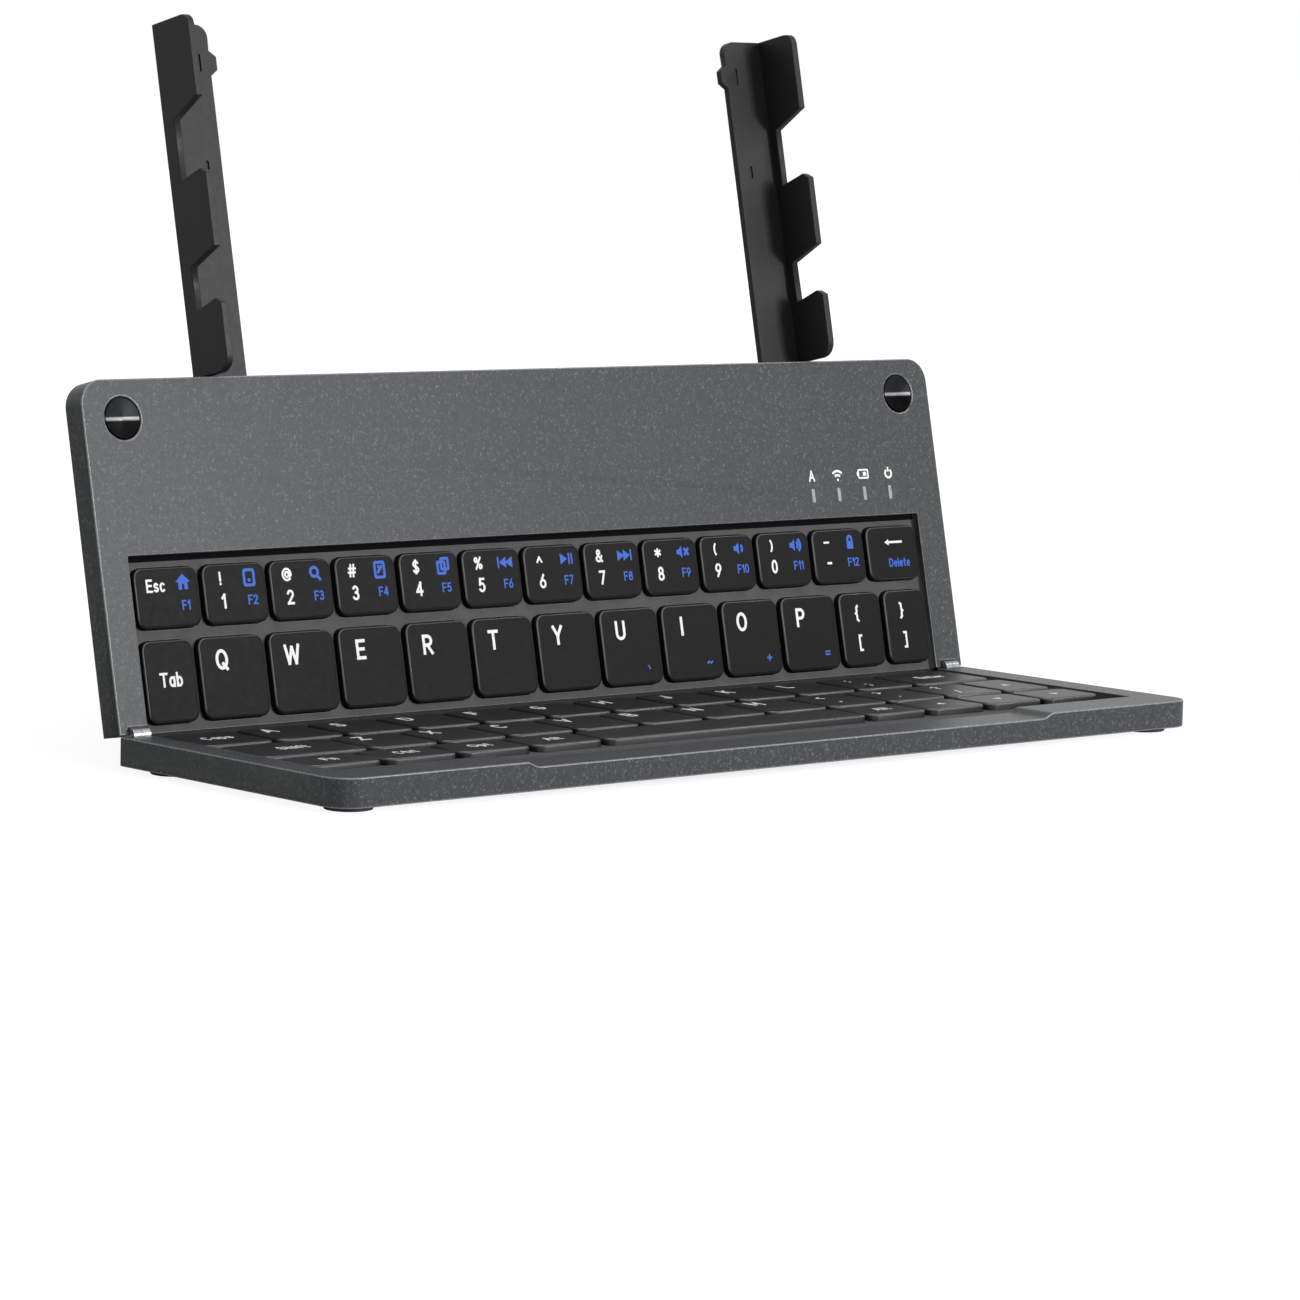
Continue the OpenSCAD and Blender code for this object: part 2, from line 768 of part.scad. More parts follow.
module arm() {
    side = arm_w / 2;
    color(arm_black) difference() {
        union() {
            plate(arm_front, arm_back) arm_plate_outline();
            translate([-side, 0, 0]) rotate([90, 0, 90])
                linear_extrude(arm_flange_t) flange_profile();
        }
        plate(0, arm_back + 1) circle(rivet_r + pin_play);
        plate(arm_back - 0.6, arm_back + 1) circle(head_r + 0.2);
        plate(arm_front - 1, arm_front + 0.4) {
            translate([side - 3, nub_start + nub_l / 2]) slot(4, 1);
            translate([side - 4, nub_start - 20]) slot(3, 1);
        }
    }
}

module left_arm() {
    on_back_panel() translate([-pivot_x, pivot_y, 0]) arm();
}

module right_arm() {
    on_back_panel() mirror([1, 0, 0]) translate([-pivot_x, pivot_y, 0]) arm();
}

front_frame();
front_base_cover();
front_key_board();
front_dome_sheet();
front_feet();
front_screws();
front_magnets();
front_hinge_leaves();
hinge_pins();
back_frame();
back_rear_cover();
back_key_board();
back_dome_sheet();
main_board();
battery();
usb_c_socket();
switch_housing();
light_pipes();
back_magnets();
back_hinge_leaves();
back_feet();
back_screws();
pivot_rivets();
ribbon_cable();
left_arm();
right_arm();
switch_slider();
home_row_keys();
enter_key();
shift_row_keys();
bottom_left_keys();
space_bar();
bottom_right_keys();
for (name = concat(NUMBER_KEYS, LETTER_KEYS))
    back_key(name);
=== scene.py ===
"""Folding keyboard: the looks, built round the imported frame.

The two panels, their covers, the arms, the switch knob and the charging socket are the frame's own
shapes with softened edges. The key caps, legends, hinge strip, magnets, feet and light signs are drawn
here. Sizes are in millimetres in the panels' flat drawings, and Panel turns them into metres in the
frame's place.
"""

import json
import logging
import math
from dataclasses import dataclass
from enum import Enum
from functools import lru_cache
from typing import Callable, Iterable, Sequence

import bmesh
import bpy
import numpy as np
from mathutils import Matrix, Vector


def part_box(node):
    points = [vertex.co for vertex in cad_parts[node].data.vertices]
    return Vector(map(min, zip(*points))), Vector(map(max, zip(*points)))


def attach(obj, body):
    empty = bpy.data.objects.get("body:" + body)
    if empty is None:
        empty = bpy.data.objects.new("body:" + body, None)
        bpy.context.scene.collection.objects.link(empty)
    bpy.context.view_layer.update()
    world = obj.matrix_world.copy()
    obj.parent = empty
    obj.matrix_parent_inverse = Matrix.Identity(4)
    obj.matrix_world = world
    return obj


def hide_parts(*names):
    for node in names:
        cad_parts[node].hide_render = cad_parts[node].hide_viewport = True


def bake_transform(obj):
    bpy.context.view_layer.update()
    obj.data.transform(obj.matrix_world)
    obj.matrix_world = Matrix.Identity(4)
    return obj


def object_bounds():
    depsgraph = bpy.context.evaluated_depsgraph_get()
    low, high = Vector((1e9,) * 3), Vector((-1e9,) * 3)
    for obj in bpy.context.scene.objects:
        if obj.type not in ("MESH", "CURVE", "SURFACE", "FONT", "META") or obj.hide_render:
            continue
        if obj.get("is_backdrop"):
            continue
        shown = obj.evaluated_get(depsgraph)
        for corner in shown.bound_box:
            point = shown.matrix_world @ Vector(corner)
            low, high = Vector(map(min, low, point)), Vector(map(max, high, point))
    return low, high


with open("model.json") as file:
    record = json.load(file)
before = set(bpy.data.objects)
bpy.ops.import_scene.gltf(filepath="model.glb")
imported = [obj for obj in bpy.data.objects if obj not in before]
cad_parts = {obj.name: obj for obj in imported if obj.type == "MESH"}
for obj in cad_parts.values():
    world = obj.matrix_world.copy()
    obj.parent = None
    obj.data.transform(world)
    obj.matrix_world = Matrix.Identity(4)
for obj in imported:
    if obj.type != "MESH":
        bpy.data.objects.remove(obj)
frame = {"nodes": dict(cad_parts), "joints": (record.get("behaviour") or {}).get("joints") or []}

logging.basicConfig(level=logging.INFO, format="%(message)s")
log = logging.getLogger("keyboard")

MM = 0.001

# Sizes of the panels, in millimetres.
HALF_W = 122.5
PANEL_D = 74.5
PANEL_T = 6.2
LEAN_DEG = 12.5
RECESS_LEFT = -115.3
RECESS_RIGHT = 114.0
BACK_RECESS = 37.3
FRONT_RECESS = 63.0
FOOT_H = 1.2

# Sizes of the keys.
KEY_START = -114.3
ROW_W = 227.2
KEY_TOP = 0.3
KEY_BEVEL = 0.6
KEY_CORNER = 2.2
KEY_WALL = 1.2
KEY_SKIRT = 2.9
FLANGE_T = 0.35
FLANGE_REACH = 0.6
FLANGE_INSET = 0.01
FLANGE_CORNER = 0.3
HOLLOW_CORNER = 1.0
SIDE_INSET = 0.02
SIDE_LIFT = 0.01
TOP_RIM = 0.12
CAP_SLACK = 0.3

# The band on a cap's rounded edge, glossier than the cap so that the lamps catch it, and a little lighter as a painted
# highlight: how far below its top it starts, and the share of the bevel where it ends.
SHINE_START = 0.06
SHINE_END = 0.5

# Legends: how far they rise and sink, and the share of their thickness by which strokes that cross
# stand apart, in turns of so many layers.
LEGEND_RISE = 0.02
LEGEND_SINK = 0.06
LAYER = 0.03
LAYERS = 6
ICON_STROKE = 0.18

# A rail of a stroke is lengthened at a corner by 1 / MITRE_LEAST at most, and a stroke is broken where
# the cosine of its turn is under SHARP_TURN, which is about 78 degrees.
MITRE_LEAST = 0.4
SHARP_TURN = 0.2

# Sizes of the strip across the hinge: its distance from the axis, its thickness, how far it goes into
# the panels, its ends and the height of its end walls.
STRIP_R = 2.1
STRIP_T = 0.25
STRIP_BITE = 0.35
STRIP_LEFT = -115.6
STRIP_RIGHT = 115.6
STRIP_STEPS = 17
WALL_R = 1.1
WALL_W = 1.8

# Sizes of the dark band laid on the back panel's web along its recess's upper wall, painted shade where a gap would be
# dark.
WEB_DEPTH = 1.9
GAP_W = 1.3
GAP_SIDE = 0.05
GAP_FAR = 0.02
GAP_CORNER = 0.3
GAP_SINK = 0.1
GAP_RISE = 0.03

# Sizes of the trim.
MAGNET_X = 112.5
MAGNET_Y = 66.2
MAGNET_R = 4.6
MAGNET_T = 1.5
MAGNET_GROOVE = 0.35
FOOT_R = 5.0
FOOT_INSET = 8.0
FOOT_EDGE = 0.35
FOOT_SOLE = 0.9
FOOT_HOLE = 0.2
LIGHT_X = (81.1, 89.4, 97.7, 106.0)
LIGHT_Y = 42.7
SIGN_UP = 4.6
SIGN_SURFACE = 0.05

# Where a frame's edges are rounded: how near counts as on a wall, the far margin, the depths below the
# key face that part the face's edges from the web's, and the shares of the width at each place.
WALL_NEAR = 0.05
RECESS_NEAR = 0.1
FAR_MARGIN = 7.1
FAR_DEPTH = 1
FACE_DEPTH = 1.25
WEB_EDGE_TOP = 1.8
WEB_EDGE_FOOT = 2.0
UNDER_NEAR = 0.1
LIGHT_NEAR = 3
RIM_SHARE = 0.5
WINDOW_SHARE = 0.33
LIGHT_SHARE = 0.25

# Which faces of a frame are the recess's plastic: how near its walls, and between which depths.
ZONE_NEAR = 0.02
ZONE_TOP = 0.3
ZONE_FOOT = 5

# Softening: points closer than WELD are one, faces nearly in a plane are joined, and edges sharper than
# ROUNDED_DEG are rounded.
WELD = 1e-6
FLAT_DEG = 0.8
ROUNDED_DEG = 30
BEVEL_STEPS = 3
SMOOTH_DEG = 35

# The charging socket's tongue: its middle, half its width and thickness, and where it ends.
TONGUE_Y = 57.8
TONGUE_HALF_W = 3.35
TONGUE_DEPTH = 3.4
TONGUE_HALF_T = 0.4
TONGUE_END = 120.4

# The wave texture's scale for stripes 1 mm wide.
STRIPE_SCALE = 1 / (20 * MM) * 3.14

# The point that the lights look at, in metres.
LIGHT_AIM = (0.0, 0.0, 0.04)


# --- Finishes -------------------------------------------------------------------------------

Colour = tuple[float, float, float]
Socket = bpy.types.NodeSocket


class Tree:
    """A material's node tree, with short calls for the nodes that the finishes share."""

    def __init__(self, name: str) -> None:
        """Makes the material with one Principled shader.

        Args:
            name: The material's name.
        """
        self.material = bpy.data.materials.new(name)
        self.material.use_nodes = True
        self.nodes = self.material.node_tree.nodes
        self.links = self.material.node_tree.links
        self.shader = self.nodes["Principled BSDF"]
        self.place = self.nodes.new("ShaderNodeTexCoord").outputs["Object"]

    def set(self, **values: float) -> None:
        """Sets the shader's own sockets.

        Args:
            values: Socket names, with underscores for spaces, and their numbers.
        """
        for name, value in values.items():
            self.shader.inputs[name.replace("_", " ")].default_value = value

    def noise(self, size_mm: float, detail: float = 2.0, stretch: Colour = (1, 1, 1)) -> Socket:
        """Adds a noise of a given grain size.

        Args:
            size_mm: The grain's size in millimetres.
            detail: How many finer octaves it has.
            stretch: Scale along each axis.

        Returns:
            The noise's factor output.
        """
        scaled = self.nodes.new("ShaderNodeMapping")
        scaled.inputs["Scale"].default_value = stretch
        self.links.new(self.place, scaled.inputs["Vector"])
        node = self.nodes.new("ShaderNodeTexNoise")
        node.inputs["Scale"].default_value = 1 / (size_mm * MM)
        node.inputs["Detail"].default_value = detail
        self.links.new(scaled.outputs["Vector"], node.inputs["Vector"])
        return node.outputs["Fac"]

    def cells(self, size_mm: float) -> Socket:
        """Adds Voronoi cells of a given size.

        Args:
            size_mm: The cells' size in millimetres.

        Returns:
            The cells' random colour output.
        """
        node = self.nodes.new("ShaderNodeTexVoronoi")
        node.inputs["Scale"].default_value = 1 / (size_mm * MM)
        self.links.new(self.place, node.inputs["Vector"])
        return node.outputs["Color"]

    def ramp(self, source: Socket, stops: Sequence[tuple[float, Colour]]) -> Socket:
        """Maps a factor to colours.

        Args:
            source: The factor.
            stops: Positions with their colours.

        Returns:
            The colour output.
        """
        node = self.nodes.new("ShaderNodeValToRGB")
        elements = node.color_ramp.elements
        while len(elements) < len(stops):
            elements.new(0.5)
        for element, (position, colour) in zip(elements, stops):
            element.position = position
            element.color = (*colour, 1)
        self.links.new(source, node.inputs["Fac"])
        return node.outputs["Color"]

    def clouded(self, size_mm: float, detail: float, colour: Colour, dark: float, light: float) -> Socket:
        """Clouds a colour softly between a darker and a lighter shade of it.

        Args:
            size_mm: The clouds' size in millimetres.
            detail: How many finer octaves they have.
            colour: The colour.
            dark: What the dark places are multiplied by.
            light: What the light places are multiplied by.

        Returns:
            The colour output.
        """
        return self.ramp(self.noise(size_mm, detail), [(0.3, shade(colour, dark)), (0.7, shade(colour, light))])

    def blend(self, factor: Socket, first: Socket, second: Socket) -> Socket:
        """Mixes two colour outputs by a factor.

        Args:
            factor: The output that chooses between them.
            first: The colour at zero.
            second: The colour at one.

        Returns:
            The mixed colour output.
        """
        node = self.nodes.new("ShaderNodeMix")
        node.data_type = "RGBA"
        self.links.new(factor, node.inputs[0])
        self.links.new(first, node.inputs[6])
        self.links.new(second, node.inputs[7])
        return node.outputs[2]

    def span(self, source: Socket, low: float, high: float) -> Socket:
        """Maps a factor of 0 to 1 onto a range.

        Args:
            source: The factor.
            low: The result at 0.
            high: The result at 1.

        Returns:
            The mapped output.
        """
        node = self.nodes.new("ShaderNodeMapRange")
        node.inputs["To Min"].default_value = low
        node.inputs["To Max"].default_value = high
        self.links.new(source, node.inputs["Value"])
        return node.outputs["Result"]

    def bump(self, height: Socket, depth_mm: float, strength: float = 0.6) -> None:
        """Raises the surface by a height, seen only in the shading.

        Args:
            height: The height's output.
            depth_mm: Its depth in millimetres.
            strength: How strongly it shows.
        """
        node = self.nodes.new("ShaderNodeBump")
        node.inputs["Strength"].default_value = strength
        node.inputs["Distance"].default_value = depth_mm * MM
        self.links.new(height, node.inputs["Height"])
        self.links.new(node.outputs["Normal"], self.shader.inputs["Normal"])

    def feed(self, socket: str, source: Socket) -> None:
        """Links an output to one of the shader's sockets.

        Args:
            socket: The socket's name.
            source: The output.
        """
        self.links.new(source, self.shader.inputs[socket])


def shade(colour: Colour, factor: float) -> Colour:
    """Makes a colour lighter or darker.

    Args:
        colour: The colour.
        factor: What it is multiplied by.

    Returns:
        The new colour.
    """
    return tuple(min(1.0, c * factor) for c in colour)


@dataclass(frozen=True)
class Finish:
    """What every finish has: a name and the record's slot that it fills."""

    name: str
    slot: str

    def build(self, tree: Tree) -> None:
        """Fills the node tree.

        Args:
            tree: The tree to fill.
        """
        raise NotImplementedError

    def material(self) -> bpy.types.Material:
        """Gives the finish's material, made once.

        Returns:
            The material.
        """
        return made_material(self)


@lru_cache(maxsize=None)
def made_material(finish: Finish) -> bpy.types.Material:
    """Builds a finish's material the first time that it is asked for.

    Args:
        finish: The finish.

    Returns:
        Its material.
    """
    tree = Tree(finish.name)
    finish.build(tree)
    return tree.material


@dataclass(frozen=True)
class FleckPaint(Finish):
    """Metallic paint with fine bright flecks, over moulded plastic."""

    colour: Colour = (0.046, 0.05, 0.0525)
    fleck: Colour = (0.135, 0.139, 0.142)
    roughness: float = 0.4
    specular: float = 0.2

    def build(self, tree: Tree) -> None:
        """Fills the node tree: soft mottling, a few flecks of 0.4 mm, and a fine grain.

        Args:
            tree: The tree to fill.
        """
        mottle = tree.clouded(1.6, 4, self.colour, 0.9, 1.1)
        lit = tree.ramp(tree.cells(0.4), [(0.66, (0, 0, 0)), (0.95, (1, 1, 1))])
        bright = tree.clouded(2, 1, self.fleck, 0.6, 1.0)
        tree.feed("Base Color", tree.blend(lit, mottle, bright))
        tree.feed("Roughness", tree.span(tree.noise(0.8, 2), self.roughness - 0.06, self.roughness + 0.06))
        tree.set(Specular_IOR_Level=self.specular)
        tree.bump(tree.noise(0.25, 2), 0.015, 0.3)


@dataclass(frozen=True)
class Moulded(Finish):
    """Moulded plastic or rubber with a fine spark-eroded grain."""

    colour: Colour = (0.02, 0.02, 0.021)
    roughness: float = 0.5
    specular: float = 0.35
    grain_mm: float = 0.22
    grain_depth: float = 0.02

    def build(self, tree: Tree) -> None:
        """Fills the node tree: faint cloudiness in the colour, uneven gloss and the grain.

        Args:
            tree: The tree to fill.
        """
        tree.feed("Base Color", tree.clouded(5, 3, self.colour, 0.88, 1.14))
        tree.feed("Roughness", tree.span(tree.noise(1.5, 3), self.roughness - 0.07, self.roughness + 0.07))
        tree.set(Specular_IOR_Level=self.specular)
        tree.bump(tree.noise(self.grain_mm, 2), self.grain_depth, 0.5)


@dataclass(frozen=True)
class Metal(Finish):
    """Bare metal with drawing lines along x and a little tarnish."""

    colour: Colour = (0.6, 0.61, 0.63)
    roughness: float = 0.28

    def build(self, tree: Tree) -> None:
        """Fills the node tree: tarnish in the colour and long fine scratches.

        Args:
            tree: The tree to fill.
        """
        tree.feed("Base Color", tree.clouded(2, 3, self.colour, 0.8, 1.0))
        tree.feed("Roughness", tree.span(tree.noise(0.6, 3), self.roughness - 0.08, self.roughness + 0.1))
        tree.set(Metallic=1.0)
        tree.bump(tree.noise(0.12, 1, (0.08, 1, 1)), 0.008, 0.4)


@dataclass(frozen=True)
class SpunMetalPaintedReflection(Finish):
    """The face of the two turned magnets, whose tool marks run round each disc's middle, with a painted reflection and
    a painted highlight band across it.
    """

    # upper and lower are a painted reflection, grey over the disc's upper half and dark over its lower half; the band
    # between them is a painted highlight.
    upper: Colour = (0.016, 0.017, 0.0185)
    lower: Colour = (0.003, 0.003, 0.0032)
    painted_highlight: Colour = (0.26, 0.265, 0.27)
    roughness: float = 0.3
    painted_dark_end: float = 0.43
    painted_highlight_start: float = 0.475
    painted_highlight_end: float = 0.51
    painted_grey_start: float = 0.54
    metallic: float = 0.16
    anisotropy: float = 0.8
    specular: float = 0.02

    def build(self, tree: Tree) -> None:
        """Fills the node tree: a painted highlight band between a painted grey half and a painted dark half, and
        radial tangents.

        The tangent is p - c, with c the middle of the disc on the point's side, because tool marks that run round
        spread the light outward. The colour follows the height (p - c) . away over the disc, as a painted reflection:
        grey above, dark below, with a painted highlight band between.

        Args:
            tree: The tree to fill.
        """
        back = made_panels()[1]
        middle = back.world(np.array([[MAGNET_X, MAGNET_Y, 0.0]]))[0]
        split = tree.nodes.new("ShaderNodeSeparateXYZ")
        tree.links.new(tree.place, split.inputs[0])
        side = tree.nodes.new("ShaderNodeMath")
        side.operation = "SIGN"
        tree.links.new(split.outputs["X"], side.inputs[0])
        across = tree.nodes.new("ShaderNodeMath")
        across.operation = "MULTIPLY"
        across.inputs[1].default_value = middle[0]
        tree.links.new(side.outputs[0], across.inputs[0])
        centre = tree.nodes.new("ShaderNodeCombineXYZ")
        centre.inputs["Y"].default_value = middle[1]
        centre.inputs["Z"].default_value = middle[2]
        tree.links.new(across.outputs[0], centre.inputs["X"])
        radial = tree.nodes.new("ShaderNodeVectorMath")
        radial.operation = "SUBTRACT"
        tree.links.new(tree.place, radial.inputs[0])
        tree.links.new(centre.outputs[0], radial.inputs[1])
        height = tree.nodes.new("ShaderNodeVectorMath")
        height.operation = "DOT_PRODUCT"
        height.inputs[1].default_value = back.away
        tree.links.new(radial.outputs[0], height.inputs[0])
        level = tree.nodes.new("ShaderNodeMath")
        level.operation = "MULTIPLY_ADD"
        level.inputs[1].default_value = 0.5 / (MAGNET_R * MM)
        level.inputs[2].default_value = 0.5
        tree.links.new(height.outputs["Value"], level.inputs[0])
        # Painted reflection and painted highlight, set by height over the disc.
        stops = [(self.painted_dark_end, self.lower), (self.painted_highlight_start, self.painted_highlight),
                 (self.painted_highlight_end, self.painted_highlight), (self.painted_grey_start, self.upper)]
        tree.feed("Base Color", tree.ramp(level.outputs[0], stops))
        tree.feed("Roughness", tree.span(tree.noise(0.8, 2), self.roughness - 0.04, self.roughness + 0.04))
        tree.set(Metallic=self.metallic, Anisotropic=self.anisotropy, Specular_IOR_Level=self.specular)
        turn = tree.nodes.new("ShaderNodeVectorTransform")
        turn.vector_type = "VECTOR"
        turn.convert_from = "OBJECT"
        turn.convert_to = "WORLD"
        tree.links.new(radial.outputs[0], turn.inputs[0])
        tree.feed("Tangent", turn.outputs[0])


@dataclass(frozen=True)
class Ink(Finish):
    """Printed ink, slightly uneven where the print is thin."""

    colour: Colour = (0.93, 0.93, 0.93)

    def build(self, tree: Tree) -> None:
        """Fills the node tree: the ink's thin places and a matt surface.

        Args:
            tree: The tree to fill.
        """
        tree.feed("Base Color", tree.ramp(tree.noise(0.3, 2), [(0.25, shade(self.colour, 0.8)), (0.6, self.colour)]))
        tree.set(Roughness=0.55, Specular_IOR_Level=0.3)
        tree.bump(tree.noise(0.15, 1), 0.005, 0.3)


@dataclass(frozen=True)
class Lens(Finish):
    """Milky plastic of the indicator lights."""

    colour: Colour = (0.36, 0.37, 0.38)

    def build(self, tree: Tree) -> None:
        """Fills the node tree: a milky body with a smooth skin.

        Args:
            tree: The tree to fill.
        """
        tree.feed("Base Color", tree.clouded(1, 2, self.colour, 0.85, 1.1))
        tree.set(Roughness=0.3, Transmission_Weight=0.1)
        tree.bump(tree.noise(0.5, 2), 0.01, 0.3)


@dataclass(frozen=True)
class BoardMask(Finish):
    """A circuit board's green mask with the copper just showing through."""

    mask: Colour = (0.012, 0.09, 0.03)
    copper: Colour = (0.03, 0.16, 0.05)

    def build(self, tree: Tree) -> None:
        """Fills the node tree: cells of 1.4 mm stand for copper areas under the mask.

        Args:
            tree: The tree to fill.
        """
        tree.feed("Base Color", tree.ramp(tree.cells(1.4), [(0.45, self.mask), (0.5, self.copper)]))
        tree.feed("Roughness", tree.span(tree.noise(1, 2), 0.3, 0.42))
        tree.bump(tree.cells(1.4), 0.03, 0.3)


@dataclass(frozen=True)
class Striped(Finish):
    """Thin film with conductors side by side along it."""

    colour: Colour = (0.55, 0.24, 0.05)

    def build(self, tree: Tree) -> None:
        """Fills the node tree: stripes 1 mm wide, side by side across x.

        Args:
            tree: The tree to fill.
        """
        node = tree.nodes.new("ShaderNodeTexWave")
        node.bands_direction = "X"
        node.inputs["Scale"].default_value = STRIPE_SCALE
        tree.links.new(tree.place, node.inputs["Vector"])
        tree.feed("Base Color", tree.ramp(node.outputs["Fac"], [(0.45, shade(self.colour, 0.6)), (0.55, self.colour)]))
        tree.feed("Roughness", tree.span(tree.noise(2, 2), 0.3, 0.45))


PANEL_PAINT = FleckPaint("panel_paint", "panel_grey")
# Lighter and glossier paint for every rounded face of the frames: a painted highlight along the edges, with gloss for
# the lamps to catch.
EDGE_HIGHLIGHT_PAINT = FleckPaint("edge_painted_highlight", "panel_grey", (0.17, 0.174, 0.178), (0.27, 0.27, 0.27), 0.27, 0.6)
COVER_PAINT = FleckPaint("cover_paint", "cover_grey", (0.2, 0.206, 0.214), (0.3, 0.305, 0.31), 0.4, 0.35)
WEB_PLASTIC = Moulded("web_plastic", "panel_grey", (0.078, 0.077, 0.076), 0.6, 0.15, 0.3, 0.015)
KEY_PLASTIC = Moulded("key_plastic", "key_plastic", (0.004, 0.0041, 0.0045), 0.5, 0.09, 0.3, 0.01)
# A lighter, glossier copy of the key plastic for the front panel's caps: a painted sheen.
FRONT_KEYS_PAINTED_SHEEN = Moulded("front_key_painted_sheen", "key_plastic", (0.006, 0.0061, 0.0066), 0.42, 0.4, 0.3, 0.01)
# Glossier and a little lighter than the caps, for their rounded edges: the gloss catches the lamps, and the lighter
# colour is a painted highlight.
KEY_EDGE_HIGHLIGHT = Moulded("key_edge_highlight", "key_plastic", (0.01, 0.0102, 0.011), 0.3, 0.8, 0.3, 0.005)
ARM_PLASTIC = Moulded("arm_plastic", "arm_plastic", (0.008, 0.008, 0.0085), 0.45, 0.25, 0.35, 0.012)
HINGE_STRIP = Moulded("hinge_strip", "housing_plastic", (0.012, 0.012, 0.013), 0.7, 0.2)
# Near-black plastic for the band of painted shade on the back web.
GAP_SHADE_PAINT = Moulded("gap_shade_paint", "housing_plastic", (0.003, 0.003, 0.0032), 0.8, 0.05)
HOUSING = Moulded("housing_plastic", "housing_plastic", (0.02, 0.02, 0.022), 0.5)
TONGUE = Moulded("tongue_plastic", "housing_plastic", (0.015, 0.015, 0.016), 0.45)
FOOT_RUBBER = Moulded("foot_rubber", "foot_rubber", (0.13, 0.13, 0.132), 0.75, 0.25, 0.4, 0.03)
DOME_RUBBER = Moulded("dome_silicone", "dome_silicone", (0.5, 0.52, 0.55), 0.45, 0.4, 0.6, 0.02)
FOIL = Metal("battery_foil", "battery_foil", (0.5, 0.51, 0.54), 0.4)
STEEL = Metal("steel", "steel", (0.34, 0.345, 0.355))
MAGNET_STEEL = Metal("magnet_steel", "magnet_steel", (0.30, 0.31, 0.32), 0.26)
# The magnets' face, with a painted reflection and a painted highlight.
MAGNET_FACE = SpunMetalPaintedReflection("magnet_face", "magnet_steel")
BOARD = BoardMask("board", "board")
FILM = Striped("ribbon_film", "ribbon_film")
LIGHT_LENS = Lens("light_lens", "light_plastic")
WHITE_INK = Ink("white_ink", "key_plastic")
BLUE_INK = Ink("blue_ink", "key_plastic", (0.035, 0.13, 0.6))

# The frame's nodes that keep their own shape, and their finishes.
NODE_FINISHES: dict[str, Finish] = {
    "front_key_board": BOARD,
    "front_dome_sheet": DOME_RUBBER,
    "front_screws": STEEL,
    "front_magnets": MAGNET_STEEL,
    "front_hinge_leaves": STEEL,
    "hinge_pins": STEEL,
    "back_key_board": BOARD,
    "back_dome_sheet": DOME_RUBBER,
    "main_board": BOARD,
    "battery": FOIL,
    "switch_housing": HOUSING,
    "light_pipes": LIGHT_LENS,
    "back_hinge_leaves": STEEL,
    "back_screws": STEEL,
    "pivot_rivets": STEEL,
    "ribbon_cable": FILM,
}


# --- Shapes ---------------------------------------------------------------------------------


@dataclass
class Shell:
    """One or more closed surfaces, as points and faces in flat arrays."""

    points: np.ndarray
    corners: np.ndarray
    sizes: np.ndarray

    def mapped(self, change: Callable[[np.ndarray], np.ndarray]) -> "Shell":
        """Gives the shell with its points changed.

        Args:
            change: What is done to the array of points.

        Returns:
            The new shell.
        """
        return Shell(change(self.points), self.corners, self.sizes)


def joined(shells: Iterable[Shell]) -> Shell:
    """Puts shells together in one.

    Args:
        shells: The shells.

    Returns:
        One shell that holds them all.
    """
    parts = list(shells)
    starts = np.cumsum([0] + [len(s.points) for s in parts[:-1]])
    return Shell(
        np.concatenate([s.points for s in parts]),
        np.concatenate([s.corners + start for s, start in zip(parts, starts)]),
        np.concatenate([s.sizes for s in parts]),
    )


def loft(rings: np.ndarray, loop: bool = False) -> Shell:
    """Skins a stack of rings.

    Point j of ring i is joined to point j of ring i + 1. The first and last rings are capped with one
    face each, unless the stack itself closes in a loop.

    Args:
        rings: Points of the rings, of shape (rings, points per ring, 3).
        loop: Whether the last ring is joined to the first.

    Returns:
        The closed shell.
    """
    count, around = rings.shape[:2]
    i = np.arange(count if loop else count - 1)[:, None] * around
    j = np.arange(around)[None, :]
    after = (j + 1) % around
    above = (i + around) % (count * around)
    quads = np.stack([i + j, i + after, above + after, above + j], axis=-1).reshape(-1)
    sizes = np.full(quads.size // 4, 4)
    if not loop:
        quads = np.concatenate([quads, np.arange(around)[::-1], np.arange(around) + (count - 1) * around])
        sizes = np.concatenate([sizes, [around, around]])
    return Shell(rings.reshape(-1, 3).astype(float), quads, sizes)


def rounded_box(x0: float, x1: float, y0: float, y1: float, radius: float, steps: int = 5) -> np.ndarray:
    """Gives a rectangle's outline with round corners.

    Each corner is a quarter circle of the same number of points, so outlines of different sizes can be
    lofted to each other.

    Args:
        x0: Left edge.
        x1: Right edge.
        y0: Near edge.
        y1: Far edge.
        radius: Radius of the corners.
        steps: Segments in each corner.

    Returns:
        Points of shape (4 * (steps + 1), 2).
    """
    turn = np.linspace(0, math.pi / 2, steps + 1)
    start = np.array([0, 1, 2, 3])[:, None] * (math.pi / 2) + turn[None, :]
    middle_x = np.array([x1 - radius, x0 + radius, x0 + radius, x1 - radius])[:, None]
    middle_y = np.array([y1 - radius, y1 - radius, y0 + radius, y0 + radius])[:, None]
    x = middle_x + radius * np.cos(start)
    y = middle_y + radius * np.sin(start)
    return np.stack([x.ravel(), y.ravel()], axis=1)


def at_depth(outline: np.ndarray, depth: float) -> np.ndarray:
    """Lifts a flat outline into a ring at a depth below the key face.

    Args:
        outline: Points of shape (n, 2).
        depth: The depth in millimetres.

    Returns:
        Points of shape (n, 3).
    """
    return np.column_stack([outline, np.full(len(outline), -depth)])


